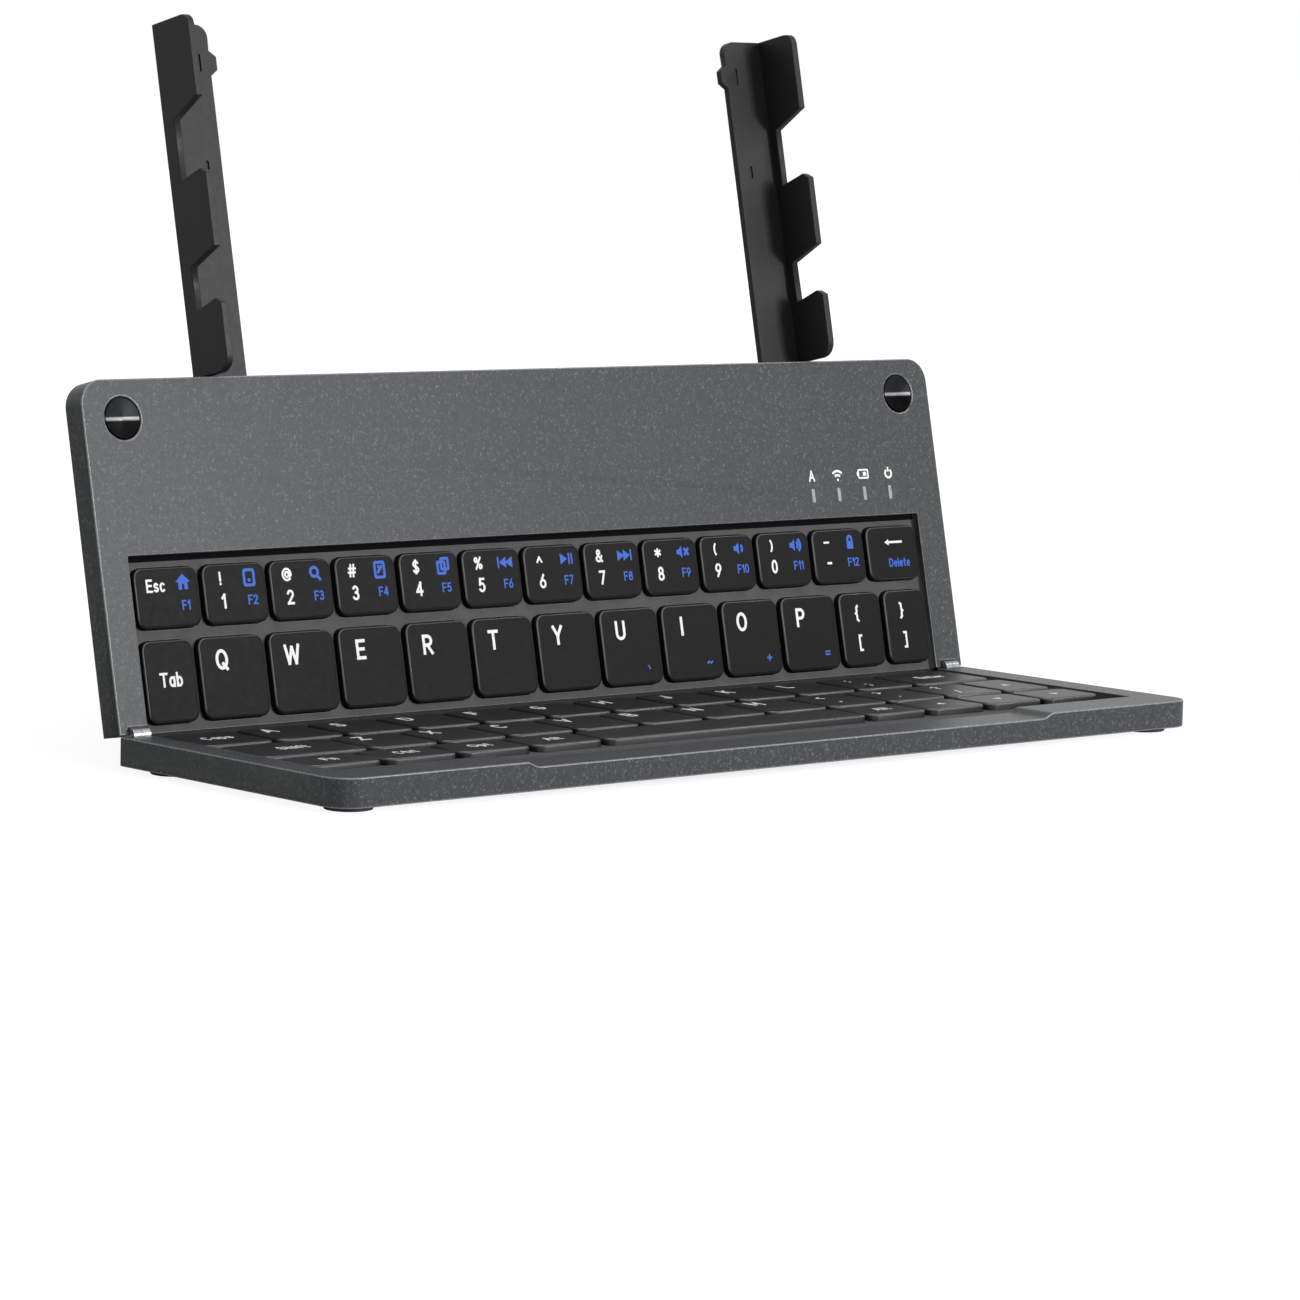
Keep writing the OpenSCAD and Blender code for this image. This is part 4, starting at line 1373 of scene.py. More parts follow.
ALPHABET: dict[str, tuple] = {
    "A": letter(0.68, pen((0, 0), (0.34, 1), (0.68, 0)), pen((0.13, 0.34), (0.55, 0.34))),
    "B": letter(0.56, STEM, pen((0, 1), (0.3, 1), bow(0.3, 0.76, 0.24, 0.24, 90, -90), (0, 0.52)),
                pen((0.3, 0.52), bow(0.3, 0.26, 0.27, 0.26, 90, -90), (0, 0))),
    "C": letter(0.6, bow(0.33, 0.5, 0.33, 0.5, 50, 310, 17)),
    "D": letter(0.6, STEM, pen((0, 1), (0.24, 1), bow(0.24, 0.5, 0.36, 0.5, 90, -90, 13), (0, 0))),
    "E": letter(0.5, pen((0.5, 1), (0, 1), (0, 0), (0.5, 0)), pen((0, 0.52), (0.44, 0.52))),
    "F": letter(0.48, pen((0.48, 1), (0, 1), (0, 0)), pen((0, 0.5), (0.42, 0.5))),
    "G": letter(0.64, pen(bow(0.33, 0.5, 0.33, 0.5, 50, 320, 17), (0.64, 0.46), (0.38, 0.46))),
    "H": letter(0.6, STEM, STEM + (0.6, 0), pen((0, 0.52), (0.6, 0.52))),
    "I": letter(0.0, STEM),
    "J": letter(0.38, pen((0.38, 1), (0.38, 0.22), bow(0.19, 0.22, 0.19, 0.22, 0, -170, 8))),
    "K": letter(0.56, STEM, pen((0.54, 1), (0, 0.4)), pen((0.18, 0.6), (0.56, 0))),
    "L": letter(0.46, pen((0, 1), (0, 0), (0.46, 0))),
    "M": letter(0.76, pen((0, 0), (0, 1), (0.38, 0.3), (0.76, 1), (0.76, 0))),
    "N": letter(0.62, pen((0, 0), (0, 1), (0.62, 0), (0.62, 1))),
    "O": letter(0.68, rings=[oval(0.34, 0.5, 0.34, 0.5)]),
    "P": letter(0.55, P_CURVE),
    "Q": letter(0.68, pen((0.42, 0.24), (0.66, -0.04)), rings=[oval(0.34, 0.5, 0.34, 0.5)]),
    "R": letter(0.56, P_CURVE, pen((0.26, 0.46), (0.56, 0))),
    "S": letter(0.54, S_CURVE),
    "T": letter(0.6, pen((0, 1), (0.6, 1)), STEM + (0.3, 0)),
    "U": letter(0.6, pen((0, 1), (0, 0.3), bow(0.3, 0.3, 0.3, 0.3, 180, 360, 11), (0.6, 1))),
    "V": letter(0.66, pen((0, 1), (0.33, 0), (0.66, 1))),
    "W": letter(0.94, pen((0, 1), (0.22, 0), (0.47, 0.9), (0.72, 0), (0.94, 1))),
    "X": letter(0.6, pen((0, 0), (0.6, 1)), pen((0, 1), (0.6, 0))),
    "Y": letter(0.62, pen((0, 1), (0.31, 0.45), (0.62, 1)), pen((0.31, 0.45), (0.31, 0))),
    "Z": letter(0.56, pen((0, 1), (0.56, 1), (0, 0), (0.56, 0))),
    "a": letter(0.42, SHORT_STEM + (0.42, 0), rings=[oval(0.21, 0.34, 0.21, 0.34)]),
    "b": letter(0.42, STEM, rings=[oval(0.21, 0.34, 0.21, 0.34)]),
    "c": letter(0.38, bow(0.22, 0.34, 0.22, 0.34, 50, 310, 13)),
    "e": letter(0.43, pen((0.02, 0.36), (0.43, 0.36), bow(0.22, 0.34, 0.22, 0.34, 15, 310, 14))),
    "f": letter(0.3, pen(bow(0.3, 0.82, 0.17, 0.18, 80, 180, 6), (0.13, 0)), pen((0, 0.66), (0.28, 0.66))),
    "h": letter(0.4, STEM, N_ARCH),
    "i": letter(0.0, SHORT_STEM, DOT + (0, 0.9)),
    "l": letter(0.0, STEM),
    "n": letter(0.4, SHORT_STEM, N_ARCH),
    "p": letter(0.42, pen((0, -0.3), (0, 0.68)), rings=[oval(0.21, 0.34, 0.21, 0.34)]),
    "r": letter(0.24, SHORT_STEM, bow(0.22, 0.42, 0.22, 0.25, 180, 85, 6)),
    "s": letter(0.36, pen(bow(0.18, 0.51, 0.17, 0.17, 30, 270, 8), bow(0.18, 0.17, 0.18, 0.17, 90, -150, 8))),
    "t": letter(0.28, pen((0.1, 0.95), (0.1, 0.16), bow(0.27, 0.17, 0.17, 0.17, 180, 265, 5)),
                pen((-0.02, 0.68), (0.28, 0.68))),
    "0": letter(0.5, rings=[oval(0.25, 0.5, 0.25, 0.5)]),
    "1": letter(0.22, pen((0, 0.76), (0.22, 1), (0.22, 0))),
    "2": letter(0.5, pen(bow(0.25, 0.74, 0.24, 0.26, 165, -30, 10), (0, 0), (0.5, 0))),
    "3": letter(0.48, bow(0.23, 0.76, 0.22, 0.24, 150, -88, 10), bow(0.23, 0.27, 0.25, 0.27, 88, -150, 12)),
    "4": letter(0.54, pen((0.4, 0), (0.4, 1), (0, 0.28), (0.54, 0.28))),
    "5": letter(0.48, pen((0.45, 1), (0.08, 1), (0.04, 0.54), bow(0.22, 0.32, 0.26, 0.32, 118, -145, 13))),
    "6": letter(0.5, pen((0.36, 1), (0.04, 0.42)), rings=[oval(0.25, 0.3, 0.25, 0.3)]),
    "7": letter(0.48, pen((0, 1), (0.48, 1), (0.16, 0))),
    "8": letter(0.5, rings=[oval(0.25, 0.76, 0.21, 0.24), oval(0.25, 0.26, 0.25, 0.26)]),
    "9": letter(0.5, pen((0.14, 0), (0.46, 0.58)), rings=[oval(0.25, 0.7, 0.25, 0.3)]),
    "!": letter(0.0, pen((0, 1), (0, 0.34)), DOT),
    "@": letter(0.9, pen(bow(0.45, 0.5, 0.45, 0.5, -50, -350, 24), (0.88, 0.4), (0.72, 0.3)),
                pen((0.68, 0.72), (0.68, 0.36)), rings=[oval(0.46, 0.5, 0.2, 0.22, 16)]),
    "#": letter(0.78, pen((0.16, 0), (0.28, 1)), pen((0.5, 0), (0.62, 1)), pen((0.02, 0.33), (0.7, 0.33)),
                pen((0.08, 0.68), (0.76, 0.68))),
    "$": letter(0.54, S_CURVE, pen((0.27, -0.08), (0.27, 1.08))),
    "%": letter(0.76, pen((0.12, 0), (0.64, 1)),
                rings=[oval(0.14, 0.8, 0.14, 0.18, 16), oval(0.62, 0.2, 0.14, 0.18, 16)]),
    "^": letter(0.5, pen((0, 0.6), (0.25, 1), (0.5, 0.6))),
    "&": letter(0.66, pen((0.66, 0), (0.13, 0.7), bow(0.28, 0.82, 0.16, 0.18, 190, -20, 8), (0.08, 0.38),
                          bow(0.27, 0.22, 0.27, 0.22, 150, 330, 9), (0.64, 0.48))),
    "*": letter(0.56, pen((0.28, 1), (0.28, 0.36)), pen((0, 0.84), (0.56, 0.52)), pen((0, 0.52), (0.56, 0.84))),
    "(": letter(0.2, bow(0.42, 0.5, 0.4, 0.62, 130, 230)),
    ")": letter(0.2, bow(-0.2, 0.5, 0.4, 0.62, 50, -50)),
    "_": letter(0.52, pen((0, 0.5), (0.52, 0.5))),
    "-": letter(0.34, pen((0, 0.5), (0.34, 0.5))),
    "{": letter(0.24, BRACE),
    "}": letter(0.24, BRACE * (-1, 1) + (0.24, 0)),
    "[": letter(0.22, SQUARE),
    "]": letter(0.22, SQUARE * (-1, 1) + (0.22, 0)),
    ":": letter(0.0, DOT + (0, 0.1), DOT + (0, 0.7)),
    ";": letter(0.0, pen((0.02, 0.15), (-0.04, -0.12)), DOT + (0, 0.7)),
    "<": letter(0.46, pen((0.46, 0.85), (0, 0.5), (0.46, 0.15))),
    ">": letter(0.46, pen((0, 0.85), (0.46, 0.5), (0, 0.15))),
    ",": letter(0.0, pen((0.02, 0.1), (-0.06, -0.16))),
    ".": letter(0.0, DOT),
    "?": letter(0.44, pen(bow(0.22, 0.76, 0.22, 0.24, 160, -60, 10), (0.22, 0.34)), DOT + (0.22, 0)),
    "/": letter(0.4, pen((0, -0.05), (0.4, 1.05))),
    "~": letter(0.6, pen((0, 0.42), bow(0.15, 0.45, 0.13, 0.12, 150, 30, 5),
                         bow(0.43, 0.53, 0.13, 0.12, 210, 330, 5), (0.6, 0.56))),
    "`": letter(0.14, pen((0, 0.66), (0.14, 0.38))),
    "+": letter(0.52, pen((0, 0.5), (0.52, 0.5)), pen((0.26, 0.76), (0.26, 0.24))),
    "=": letter(0.5, pen((0, 0.64), (0.5, 0.64)), pen((0, 0.34), (0.5, 0.34))),
}


def square_ended(path: np.ndarray) -> np.ndarray:
    """Lengthens a stroke's ends by half its width, so that strokes that meet at an end fill the corner.

    Args:
        path: The stroke's middle line, of shape (n, 2).

    Returns:
        The longer line.
    """
    first, last = path[0] - path[1], path[-1] - path[-2]
    longer = path.copy()
    longer[0] += first / np.linalg.norm(first) * STROKE / 2
    longer[-1] += last / np.linalg.norm(last) * STROKE / 2
    return longer


def straight_runs(path: np.ndarray) -> list[np.ndarray]:
    """Breaks a stroke at its sharp corners, where a mitred stroke would grow thin.

    Args:
        path: The stroke's middle line, of shape (n, 2).

    Returns:
        The lines between corners that turn by more than about 78 degrees.
    """
    step = np.diff(path, axis=0)
    step /= np.linalg.norm(step, axis=1, keepdims=True)
    corners_at = np.nonzero(np.sum(step[1:] * step[:-1], axis=1) < SHARP_TURN)[0] + 1
    ends = [0, *corners_at.tolist(), len(path) - 1]
    return [path[a:b + 1] for a, b in zip(ends[:-1], ends[1:])]


@lru_cache(maxsize=None)
def glyphs(text: str) -> Shell:
    """Draws a word with the stroke alphabet, with capitals one unit high over the strokes.

    Args:
        text: The word.

    Returns:
        Its shell, about one unit thick: strokes that cross stand a layer apart, so that no two tops
        share a place. It is centred across, and up about the capitals' middle where it is a
        word or a number, or about its own middle where it is a symbol.
    """
    at, strokes = 0.0, []
    for sign in text:
        width, paths, rings = ALPHABET[sign]
        strokes += [(square_ended(run) + (at, 0), False) for path in paths for run in straight_runs(path)]
        strokes += [(path + (at, 0), True) for path in rings]
        at += width + LETTER_GAP
    shell = joined([ribbon(path, STROKE, -0.5, 0.5 + LAYER * (index % LAYERS), closed)
                    for index, (path, closed) in enumerate(strokes)])
    low, high = shell.points.min(axis=0), shell.points.max(axis=0)
    middle_y = 0.5 if text.isalnum() else (low[1] + high[1]) / 2
    scale = 1 / (1 + STROKE)
    return shell.mapped(lambda p: (p - [(low[0] + high[0]) / 2, middle_y, 0]) * [scale, scale, 1])


@dataclass(frozen=True)
class Legend:
    """A word or sign on a key: where it stands as shares of the key's width and length, and its height."""

    mark: str | Icon
    across: float
    up: float
    height: float
    ink: Finish = WHITE_INK

    def shell(self, place: KeyPlace, panel: Panel) -> Shell:
        """Draws the legend on a key.

        Args:
            place: The key's outline.
            panel: The panel that the key is in.

        Returns:
            The legend, standing a little proud of the key's top.
        """
        x = place.x0 + self.across * (place.x1 - place.x0)
        base = place.y0 if panel.legend_up > 0 else place.y1
        y = base + panel.legend_up * self.up * (place.y1 - place.y0)
        return drawn_mark(self.mark, x, y, self.height, KEY_TOP, panel.legend_up)


def drawn_mark(mark: str | Icon, x: float, y: float, height: float, surface: float, up: int) -> Shell:
    """Draws a word or sign on a surface.

    Args:
        mark: The word or sign.
        x: Its middle, along the hinge.
        y: Its middle, away from the hinge.
        height: Its height in millimetres.
        surface: The surface's depth below the key face.
        up: 1 where its top points away from the hinge, or -1.

    Returns:
        Its shell.
    """
    low, high = -surface - LEGEND_SINK, -surface + LEGEND_RISE
    if isinstance(mark, Icon):
        fills, strokes = ICONS[mark]
        shape = joined([prism(outline, -0.5, 0.5 + LAYER * index) for index, outline in enumerate(fills)]
                       + [ribbon(path, ICON_STROKE, -0.5, 0.5 + LAYER * (index + len(fills)), closed)
                          for index, (path, closed) in enumerate(strokes)])
    else:
        shape = glyphs(mark)
    scale = np.array([height, up * height, high - low])
    return shape.mapped(lambda p: p * scale + [x, y, (low + high) / 2])


def shifted(symbol: str, number: str, icon: Icon, function: str) -> tuple[Legend, ...]:
    """Gives the legends of a key in the number row.

    Args:
        symbol: What it types with shift.
        number: What it types without.
        icon: Its blue sign.
        function: Its blue function name.

    Returns:
        Its four legends.
    """
    return (
        Legend(symbol, 0.27, 0.76, 2.9),
        Legend(number, 0.29, 0.38, 3.2),
        Legend(icon, 0.73, 0.75, 3.6, BLUE_INK),
        Legend(function, 0.76, 0.38, 2.1, BLUE_INK),
    )


def lettered(capital: str, second: str = "") -> tuple[Legend, ...]:
    """Gives the legends of a letter key.

    Args:
        capital: The letter.
        second: Its blue second sign, if it has one.

    Returns:
        Its legends.
    """
    first = Legend(capital, 0.33, 0.72, 4.4)
    return (first, Legend(second, 0.76, 0.22, 2.6, BLUE_INK)) if second else (first,)


def word(text: str) -> tuple[Legend, ...]:
    """Gives the legend of a key that carries one word.

    Args:
        text: The word.

    Returns:
        Its one legend.
    """
    return (Legend(text, 0.5, 0.52, 3.1),)


def paired(upper: str, lower: str) -> tuple[Legend, ...]:
    """Gives the legends of a key with two signs, one above the other.

    Args:
        upper: The upper sign.
        lower: The lower sign.

    Returns:
        Its two legends.
    """
    return Legend(upper, 0.4, 0.72, 3.4), Legend(lower, 0.42, 0.32, 3.4)


NUMBER_LEGENDS: dict[str, tuple[Legend, ...]] = {
    "key_esc": (Legend("Esc", 0.32, 0.7, 2.8), Legend(Icon.HOUSE, 0.75, 0.74, 3.8, BLUE_INK),
                Legend("F1", 0.77, 0.36, 2.1, BLUE_INK)),
    "key_1": shifted("!", "1", Icon.SCREEN, "F2"),
    "key_2": shifted("@", "2", Icon.SEARCH, "F3"),
    "key_3": shifted("#", "3", Icon.PAGE, "F4"),
    "key_4": shifted("$", "4", Icon.PAGES, "F5"),
    "key_5": shifted("%", "5", Icon.PREVIOUS, "F6"),
    "key_6": shifted("^", "6", Icon.PLAY, "F7"),
    "key_7": shifted("&", "7", Icon.NEXT, "F8"),
    "key_8": shifted("*", "8", Icon.MUTE, "F9"),
    "key_9": shifted("(", "9", Icon.QUIETER, "F10"),
    "key_0": shifted(")", "0", Icon.LOUDER, "F11"),
    "key_minus": shifted("_", "-", Icon.LOCK, "F12"),
    "key_delete": (Legend(Icon.BACKSPACE, 0.52, 0.7, 2.6), Legend("Delete", 0.6, 0.32, 2.1, BLUE_INK)),
}
LETTER_LEGENDS: dict[str, tuple[Legend, ...]] = {
    "key_tab": word("Tab"),
    "key_q": lettered("Q"),
    "key_w": lettered("W"),
    "key_e": lettered("E"),
    "key_r": lettered("R"),
    "key_t": lettered("T"),
    "key_y": lettered("Y"),
    "key_u": lettered("U", "`"),
    "key_i": lettered("I", "~"),
    "key_o": lettered("O", "+"),
    "key_p": lettered("P", "="),
    "key_open_bracket": paired("{", "["),
    "key_close_bracket": paired("}", "]"),
}
HOME_LEGENDS = (word("Caps"), *(lettered(c) for c in "ASDFGHJKL"), paired(":", ";"))
SHIFT_LEGENDS = (word("Shift"), *(lettered(c) for c in "ZXCVBNM"), paired("<", ","), paired(">", "."),
                 paired("?", "/"), (Legend(Icon.UP, 0.5, 0.5, 3.2),))
LEFT_LEGENDS = (word("Fn"), word("Ctrl"), word("Opt"), word("Alt"))
RIGHT_LEGENDS = (word("Alt"), (Legend(Icon.LEFT, 0.5, 0.5, 3.0),), (Legend(Icon.DOWN, 0.5, 0.5, 3.0),),
                 (Legend(Icon.RIGHT, 0.5, 0.5, 3.0),))


def key_cap(place: KeyPlace) -> Shell:
    """Draws a hollow key cap with a rounded top edge and the flange that the web holds down.

    The rings run from the hollow's ceiling down its wall, round the flange and up the outside. Over the
    top edge, ring k is drawn in by b (1 - cos t) and raised by b sin t, with t from 0 to 90 degrees and
    b the bevel.

    Args:
        place: The key's outline.

    Returns:
        The cap.
    """

    def ring(inset: float, radius: float, depth: float, reach: float = 0.0) -> np.ndarray:
        """Gives the outline drawn in by an inset, and reaching out at its near and far edges."""
        outline = rounded_box(place.x0 + inset, place.x1 - inset,
                              place.y0 + inset - reach, place.y1 - inset + reach, radius)
        return at_depth(outline, depth)

    shoulder = KEY_TOP + KEY_BEVEL
    turn = np.radians([0, 22.5, 45, 67.5, 90])
    over = [
        ring(KEY_BEVEL * (1 - math.cos(t)), KEY_CORNER - KEY_BEVEL * (1 - math.cos(t)),
             shoulder - KEY_BEVEL * math.sin(t))
        for t in turn
    ]
    rings = [
        ring(KEY_WALL, HOLLOW_CORNER, KEY_TOP + KEY_WALL),
        ring(KEY_WALL, HOLLOW_CORNER, KEY_SKIRT),
        ring(FLANGE_INSET, FLANGE_CORNER, KEY_SKIRT, FLANGE_REACH),
        ring(FLANGE_INSET, FLANGE_CORNER, KEY_SKIRT - FLANGE_T, FLANGE_REACH),
        ring(SIDE_INSET, KEY_CORNER, KEY_SKIRT - FLANGE_T - SIDE_LIFT),
        *over,
        ring(KEY_BEVEL + TOP_RIM, KEY_CORNER - KEY_BEVEL - TOP_RIM, KEY_TOP),
    ]
    return loft(np.stack(rings))


@dataclass(frozen=True)
class KeyGroup:
    """The keys of one node, which move together."""

    node: str
    panel: Panel
    places: tuple[KeyPlace, ...]
    legends: tuple[tuple[Legend, ...], ...]

    def make(self) -> None:
        """Makes the caps and their legends."""
        body = f"{self.node}_body"
        # The front caps take the lighter, glossier copy of the key plastic, a painted sheen.
        plastic = FRONT_KEYS_PAINTED_SHEEN if self.panel.name == "front" else KEY_PLASTIC
        shells = joined([key_cap(place) for place in self.places])
        caps = made_piece(self.panel, f"{self.node}_caps", body, [(plastic, shells)])
        # The band on each rounded edge takes the glossier, lighter plastic, partly a painted highlight.
        caps.data.materials.append(KEY_EDGE_HIGHLIGHT.material())
        depth = -self.panel.flat(read(caps.data.polygons, "center", 3))[:, 2]
        shoulder = (depth > KEY_TOP + SHINE_START) & (depth < KEY_TOP + SHINE_END * KEY_BEVEL)
        caps.data.polygons.foreach_set("material_index", shoulder.astype(np.int32))
        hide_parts(self.node)
        self.check(caps)
        marks = [(legend.ink, legend.shell(place, self.panel))
                 for place, several in zip(self.places, self.legends) for legend in several]
        zones = [(ink, joined([shell for used, shell in marks if used is ink]))
                 for ink in (WHITE_INK, BLUE_INK) if any(used is ink for used, _ in marks)]
        if zones:
            made_piece(self.panel, f"{self.node}_legends", body, zones)

    def check(self, caps: bpy.types.Object) -> None:
        """Logs a warning where the caps reach more than CAP_SLACK from the node that they stand for.

        Args:
            caps: The caps.
        """
        low, high = (np.array(corner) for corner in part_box(self.node))
        spots = read(caps.data.vertices, "co", 3)
        gap = max(np.abs(spots.min(axis=0) - low).max(), np.abs(spots.max(axis=0) - high).max()) / MM
        if gap > CAP_SLACK:
            log.warning("%s: its caps are %.2f mm off their node", self.node, gap)


@dataclass
class Keyboard:
    """All the keys of both panels."""

    front: Panel
    back: Panel

    def groups(self) -> list[KeyGroup]:
        """Lists the key groups.

        Returns:
            One for each key node.
        """
        single = [
            KeyGroup(node, self.back, (row.place(index),), (legends,))
            for row, table in ((NUMBER_ROW, NUMBER_LEGENDS), (LETTER_ROW, LETTER_LEGENDS))
            for index, (node, legends) in enumerate(table.items())
        ]
        return single + [
            self.group("home_row_keys", HOME_ROW, range(11), HOME_LEGENDS),
            self.group("enter_key", HOME_ROW, range(11, 12), (word("Enter"),)),
            self.group("shift_row_keys", SHIFT_ROW, range(12), SHIFT_LEGENDS),
            self.group("bottom_left_keys", BOTTOM_ROW, range(4), LEFT_LEGENDS),
            self.group("space_bar", BOTTOM_ROW, range(4, 5), ((),)),
            self.group("bottom_right_keys", BOTTOM_ROW, range(5, 9), RIGHT_LEGENDS),
        ]

    def group(self, node: str, row: KeyRow, indices: range, legends: tuple) -> KeyGroup:
        """Makes a group of the front panel.

        Args:
            node: The node.
            row: The row that its keys are in.
            indices: Their places in the row.
            legends: Their legends.

        Returns:
            The group.
        """
        return KeyGroup(node, self.front, tuple(row.place(i) for i in indices), legends)

    def make(self) -> None:
        """Makes every key."""
        for group in self.groups():
            group.make()


# --- Trim -----------------------------------------------------------------------------------


@dataclass
class Trim:
    """The hinge strip, the band of painted shade over the web, the magnets, the feet and the light signs."""

    front: Panel
    back: Panel

    def make(self) -> None:
        """Makes the trim of both panels."""
        self.hinge_strip()
        self.web_gap_painted_shade()
        self.magnets()
        self.feet(self.front, "front_feet")
        self.feet(self.back, "back_feet")
        self.light_signs()

    def hinge_strip(self) -> None:
        """Makes the flexible strip that bends round the hinge axis between the panels, with a wall at each end.

        Its middle line runs along the circle r (sin a, -cos a) behind the axis, in the plane across the
        hinge, with a from 0 at the front panel's end to the angle between the panels' ends.
        """
        lean = math.radians(LEAN_DEG)
        angle = np.linspace(0, math.pi / 2 - lean, STRIP_STEPS)
        round_axis = np.stack([np.sin(angle), -np.cos(angle)], axis=1)

        def run(radius: float) -> np.ndarray:
            """Gives the line round the axis at a radius, with its ends let into both panels.

            Args:
                radius: The radius.

            Returns:
                Points of shape (n, 2).
            """
            bend = radius * round_axis
            return np.concatenate([bend[:1] - [STRIP_BITE, 0], bend,
                                   bend[-1:] + STRIP_BITE * np.array([math.sin(lean), math.cos(lean)])])

        bend = STRIP_R * round_axis
        walls = [ribbon(run(WALL_R), WALL_W, x, x + STRIP_T) for x in (STRIP_LEFT, STRIP_RIGHT - STRIP_T)]
        stroke = joined([ribbon(run(STRIP_R), STRIP_T, STRIP_LEFT, STRIP_RIGHT), *walls])
        shell = stroke.mapped(lambda p: np.column_stack([p[:, 2], -p[:, 0], p[:, 1]]))
        piece = made_piece(self.front, "hinge_strip", None, [(HINGE_STRIP, shell)])
        ends = [self.front.world(np.array([[0.0, -u, v]]))[0] for u, v in (bend[0], bend[-1])]
        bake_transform(piece)

    def web_gap_painted_shade(self) -> None:
        """Lays a dark band on the back panel's web along its recess's upper wall: painted shade standing for a gap."""
        outline = rounded_box(RECESS_LEFT + GAP_SIDE, RECESS_RIGHT - GAP_SIDE,
                              BACK_RECESS - GAP_W, BACK_RECESS - GAP_FAR, GAP_CORNER)
        # A flat near-black band just over the web: painted shade.
        band = prism(outline, -WEB_DEPTH - GAP_SINK, -WEB_DEPTH + GAP_RISE)
        made_piece(self.back, "web_gap_painted_shade", "back_panel", [(GAP_SHADE_PAINT, band)])

    def magnets(self) -> None:
        """Makes the two turned discs in the back panel's face, with a groove round each."""
        edge = MAGNET_R - MAGNET_GROOVE
        # Radii and heights: the underside, the rim, the groove's floor, and over the edge to the middle.
        profile = [(0.2, -MAGNET_T), (MAGNET_R, -MAGNET_T), (MAGNET_R, -0.75), (edge, -0.7), (edge, -0.16),
                   (edge - 0.06, -0.1), (edge - 0.16, -0.08), (edge - 0.3, -0.12), (1.0, -0.16), (0.02, -0.17)]
        discs = joined([turned(profile, (side * MAGNET_X, MAGNET_Y), 72) for side in (-1, 1)])
        piece = made_piece(self.back, "magnet_discs", "back_panel", [(MAGNET_FACE, discs)])
        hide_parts("back_magnets")

    def feet(self, panel: Panel, node: str) -> None:
        """Makes a panel's four rubber feet, rounded over at the edge.

        Args:
            panel: The panel.
            node: The node they stand for.
        """
        low, edge = -PANEL_T - FOOT_H, FOOT_EDGE
        turn = np.radians([0, 30, 60, 90])
        rounding = [(FOOT_R - edge + edge * math.cos(t), low + edge - edge * math.sin(t)) for t in turn]
        profile = [(FOOT_HOLE, -PANEL_T), (FOOT_R, -PANEL_T), *rounding, (FOOT_R - FOOT_SOLE, low), (FOOT_HOLE, low)]
        spots = [(side * (HALF_W - FOOT_INSET), y) for side in (-1, 1) for y in (FOOT_INSET, PANEL_D - FOOT_INSET)]
        feet = joined([turned(profile, spot, 48) for spot in spots])
        piece = made_piece(panel, f"{node}_rubber", panel.body, [(FOOT_RUBBER, feet)])
        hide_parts(node)

    def light_signs(self) -> None:
        """Prints the sign of each indicator light above it."""
        marks = (("A", 2.6), (Icon.WAVES, 3.0), (Icon.BATTERY, 2.3), (Icon.POWER, 2.8))
        shells = [drawn_mark(mark, x, LIGHT_Y + SIGN_UP, height, SIGN_SURFACE, 1)
                  for x, (mark, height) in zip(LIGHT_X, marks)]
        made_piece(self.back, "light_signs", "back_panel", [(WHITE_INK, joined(shells))])


@dataclass
class Housings:
    """The softened copies of the frame's own shapes."""

    front: Panel
    back: Panel

    def softenings(self) -> list[Softening]:
        """Lists the nodes that are softened.

        Returns:
            How each is softened.
        """
        # The third finish, on every rounded face, is the lighter paint of a painted highlight.
        frame_finishes = (PANEL_PAINT, WEB_PLASTIC, EDGE_HIGHLIGHT_PAINT)
        return [
            Softening("front_frame", "front_panel", self.front, 0.3, frame_finishes,
                      frame_weight(self.front.recess), web_zone(self.front.recess), shortest=0.3, edge_slot=2),
            Softening("back_frame", "back_panel", self.back, 0.3, frame_finishes,
                      frame_weight(self.back.recess), web_zone(self.back.recess), edge_slot=2),
            Softening("front_base_cover", "front_panel", self.front, 0.15, (COVER_PAINT,), shortest=1.0),
            Softening("back_rear_cover", "back_panel", self.back, 0.15, (COVER_PAINT,), shortest=1.0),
            Softening("left_arm", "left_arm_body", self.back, 0.25, (ARM_PLASTIC,)),
            Softening("right_arm", "right_arm_body", self.back, 0.25, (ARM_PLASTIC,)),
            Softening("switch_slider", "power_switch", self.back, 0.15, (HOUSING,), shortest=0.2),
            Softening("usb_c_socket", "back_panel", self.back, 0.06, (STEEL, TONGUE), zone=tongue_zone, shortest=0.2),
        ]

    def make(self) -> None:
        """Makes every softened copy."""
        for softening in self.softenings():
            softening.make()


# --- Camera and studio ----------------------------------------------------------------------


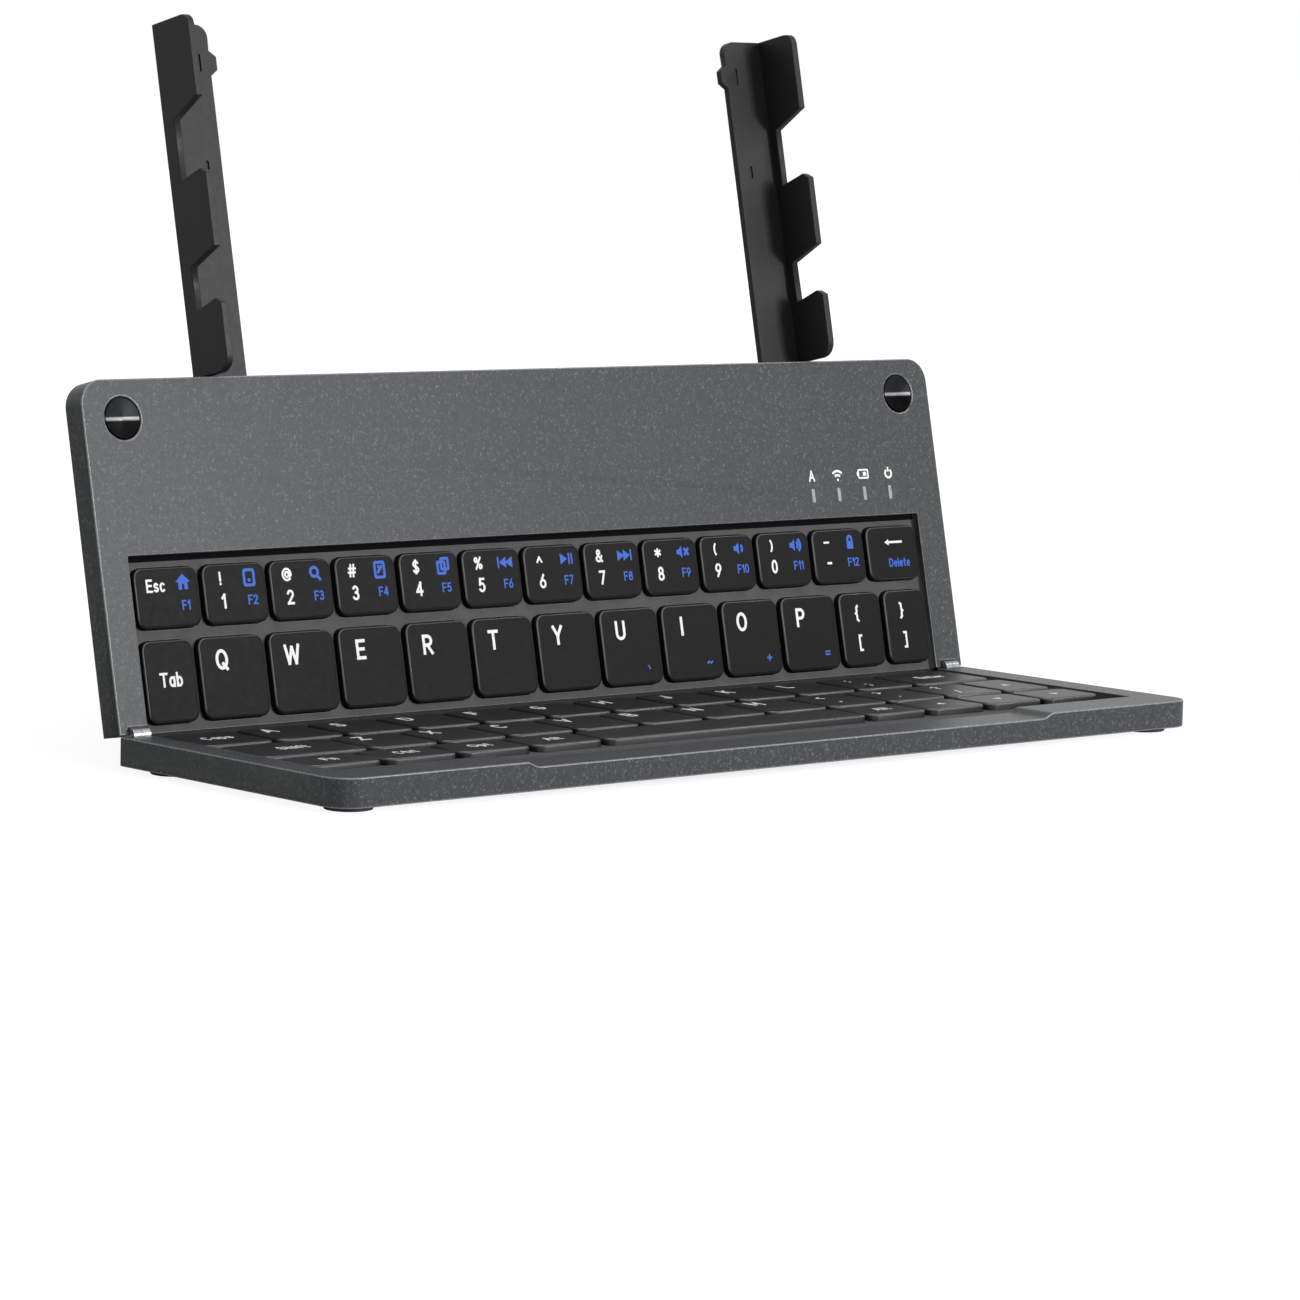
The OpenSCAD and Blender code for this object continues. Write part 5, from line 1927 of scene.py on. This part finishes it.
@dataclass(frozen=True)
class PhotoCamera:
    """The photograph's camera: its place in metres, its angles and its lens."""

    place: tuple[float, float, float] = (-0.704510, -0.805944, 0.141113)
    yaw_deg: float = -41.4575
    pitch_deg: float = 6.446
    roll_deg: float = 1.300
    lens_mm: float = 135.69
    sensor_mm: float = 36
    nearest: float = 0.01

    def make(self) -> None:
        """Makes the camera and looks through it."""
        yaw, pitch, roll = (math.radians(a) for a in (self.yaw_deg, self.pitch_deg, self.roll_deg))
        forward = Vector((-math.sin(yaw) * math.cos(pitch), math.cos(yaw) * math.cos(pitch), -math.sin(pitch)))
        level = Vector((math.cos(yaw), math.sin(yaw), 0))
        up = level.cross(forward)
        right = level * math.cos(roll) + up * math.sin(roll)
        top = up * math.cos(roll) - level * math.sin(roll)
        data = bpy.data.cameras.new("photo_camera")
        data.lens = self.lens_mm
        data.sensor_width = self.sensor_mm
        data.clip_start = self.nearest
        camera = bpy.data.objects.new("photo_camera", data)
        turn = Matrix((right, top, -forward)).transposed().to_4x4()
        camera.matrix_world = Matrix.Translation(Vector(self.place)) @ turn
        bpy.context.scene.collection.objects.link(camera)
        bpy.context.scene.camera = camera


@dataclass(frozen=True)
class SoftLight:
    """A square soft light that looks at the keyboard."""

    name: str
    place: tuple[float, float, float]
    size: float
    power: float

    def make(self) -> None:
        """Makes the light."""
        data = bpy.data.lights.new(self.name, "AREA")
        data.size = self.size
        data.energy = self.power
        light = bpy.data.objects.new(self.name, data)
        light.location = self.place
        aim = Vector(LIGHT_AIM) - Vector(self.place)
        light.rotation_euler = aim.to_track_quat("-Z", "Y").to_euler()
        light.visible_camera = False
        bpy.context.scene.collection.objects.link(light)


@dataclass
class Studio:
    """The pale floor, the white surroundings and the soft lights."""

    floor_half: float = 6.0
    floor_shade: float = 0.3
    floor_reach: float = 0.2
    floor_glow: float = 1.15
    floor_pale: float = 0.9
    floor_roughness: float = 0.8
    floor_specular: float = 0.1
    ambient: float = 0.06
    lights: tuple[SoftLight, ...] = (
        SoftLight("front_light", (-0.2, -1.1, 0.8), 0.7, 3.5),
        SoftLight("top_light", (0.0, 0.1, 1.6), 1.4, 9.0),
        SoftLight("sheen_light", (0.55, -1.15, 0.38), 0.25, 11.0),
        SoftLight("edge_light", (0.75, -0.4, 0.75), 0.12, 1.2),
        SoftLight("camera_light", (-0.85, -1.15, 0.45), 0.25, 2.0),
    )

    def make(self) -> None:
        """Makes the floor, the surroundings and the lights."""
        self.floor()
        self.surroundings()
        for light in self.lights:
            light.make()
        bpy.context.scene.view_settings.view_transform = "Standard"

    def floor(self) -> None:
        """Makes the floor, which keeps the keyboard's shadow and turns pure white away from it.

        The camera sees a share 1 - s exp(-(r / d)^2) of plain white at a distance r from the middle,
        with s the share of real shading beside the keyboard and d its reach.
        """
        half = self.floor_half
        mesh = bpy.data.meshes.new("floor")
        mesh.from_pydata([(-half, -half, 0), (half, -half, 0), (half, half, 0), (-half, half, 0)], [], [(0, 1, 2, 3)])
        material = bpy.data.materials.new("floor_pale")
        material.use_nodes = True
        nodes, links = material.node_tree.nodes, material.node_tree.links
        shader = nodes["Principled BSDF"]
        shader.inputs["Base Color"].default_value = (self.floor_pale, self.floor_pale, self.floor_pale, 1)
        shader.inputs["Roughness"].default_value = self.floor_roughness
        shader.inputs["Specular IOR Level"].default_value = self.floor_specular
        place = nodes.new("ShaderNodeTexCoord").outputs["Object"]
        path = nodes.new("ShaderNodeLightPath")
        square = nodes.new("ShaderNodeVectorMath")
        square.operation = "DOT_PRODUCT"
        links.new(place, square.inputs[0])
        links.new(place, square.inputs[1])
        source = square.outputs["Value"]
        for operation, number in (("MULTIPLY", -1 / self.floor_reach**2), ("EXPONENT", None),
                                  ("MULTIPLY", -self.floor_shade), ("ADD", 1.0)):
            step = nodes.new("ShaderNodeMath")
            step.operation = operation
            links.new(source, step.inputs[0])
            if number is not None:
                step.inputs[1].default_value = number
            source = step.outputs[0]
        share = nodes.new("ShaderNodeMath")
        share.operation = "MULTIPLY"
        glow = nodes.new("ShaderNodeEmission")
        glow.inputs["Strength"].default_value = self.floor_glow
        mix = nodes.new("ShaderNodeMixShader")
        links.new(path.outputs["Is Camera Ray"], share.inputs[0])
        links.new(source, share.inputs[1])
        links.new(share.outputs[0], mix.inputs[0])
        links.new(shader.outputs[0], mix.inputs[1])
        links.new(glow.outputs[0], mix.inputs[2])
        links.new(mix.outputs[0], nodes["Material Output"].inputs["Surface"])
        mesh.materials.append(material)
        floor = bpy.data.objects.new("floor", mesh)
        bpy.context.scene.collection.objects.link(floor)
        floor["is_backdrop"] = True

    def surroundings(self) -> None:
        """Makes the world: white to the camera and in reflections, and a dimmer even light elsewhere."""
        world = bpy.data.worlds.new("surroundings")
        world.use_nodes = True
        bpy.context.scene.world = world
        nodes, links = world.node_tree.nodes, world.node_tree.links
        dim = nodes["Background"]
        dim.inputs["Color"].default_value = (1, 1, 1, 1)
        dim.inputs["Strength"].default_value = self.ambient
        white = nodes.new("ShaderNodeBackground")
        white.inputs["Color"].default_value = (1, 1, 1, 1)
        path = nodes.new("ShaderNodeLightPath")
        seen = nodes.new("ShaderNodeMath")
        seen.operation = "ADD"
        seen.use_clamp = True
        through = nodes.new("ShaderNodeMath")
        through.operation = "ADD"
        through.use_clamp = True
        mix = nodes.new("ShaderNodeMixShader")
        links.new(path.outputs["Is Camera Ray"], seen.inputs[0])
        links.new(path.outputs["Is Glossy Ray"], seen.inputs[1])
        links.new(seen.outputs[0], through.inputs[0])
        links.new(path.outputs["Is Transmission Ray"], through.inputs[1])
        links.new(through.outputs[0], mix.inputs[0])
        links.new(dim.outputs[0], mix.inputs[1])
        links.new(white.outputs[0], mix.inputs[2])
        links.new(mix.outputs[0], nodes["World Output"].inputs["Surface"])


# --- The whole scene ------------------------------------------------------------------------


def corners() -> list[list[float]]:
    """Measures everything that shows.

    Returns:
        The lowest and the highest corner, in metres.
    """
    low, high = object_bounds()
    return [[float(v) for v in low], [float(v) for v in high]]


def dress_nodes() -> None:
    """Gives the frame's own nodes their finishes."""
    for name, finish in NODE_FINISHES.items():
        node = frame["nodes"][name]
        node.data.materials.clear()
        node.data.materials.append(finish.material())
        log.info("%s: keeps its shape, in %s", name, finish.name)


def main() -> None:
    """Builds the scene."""
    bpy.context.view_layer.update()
    front, back = made_panels()
    PhotoCamera().make()
    Studio().make()
    Housings(front, back).make()
    Keyboard(front, back).make()
    Trim(front, back).make()
    dress_nodes()


if __name__ == "__main__":
    main()
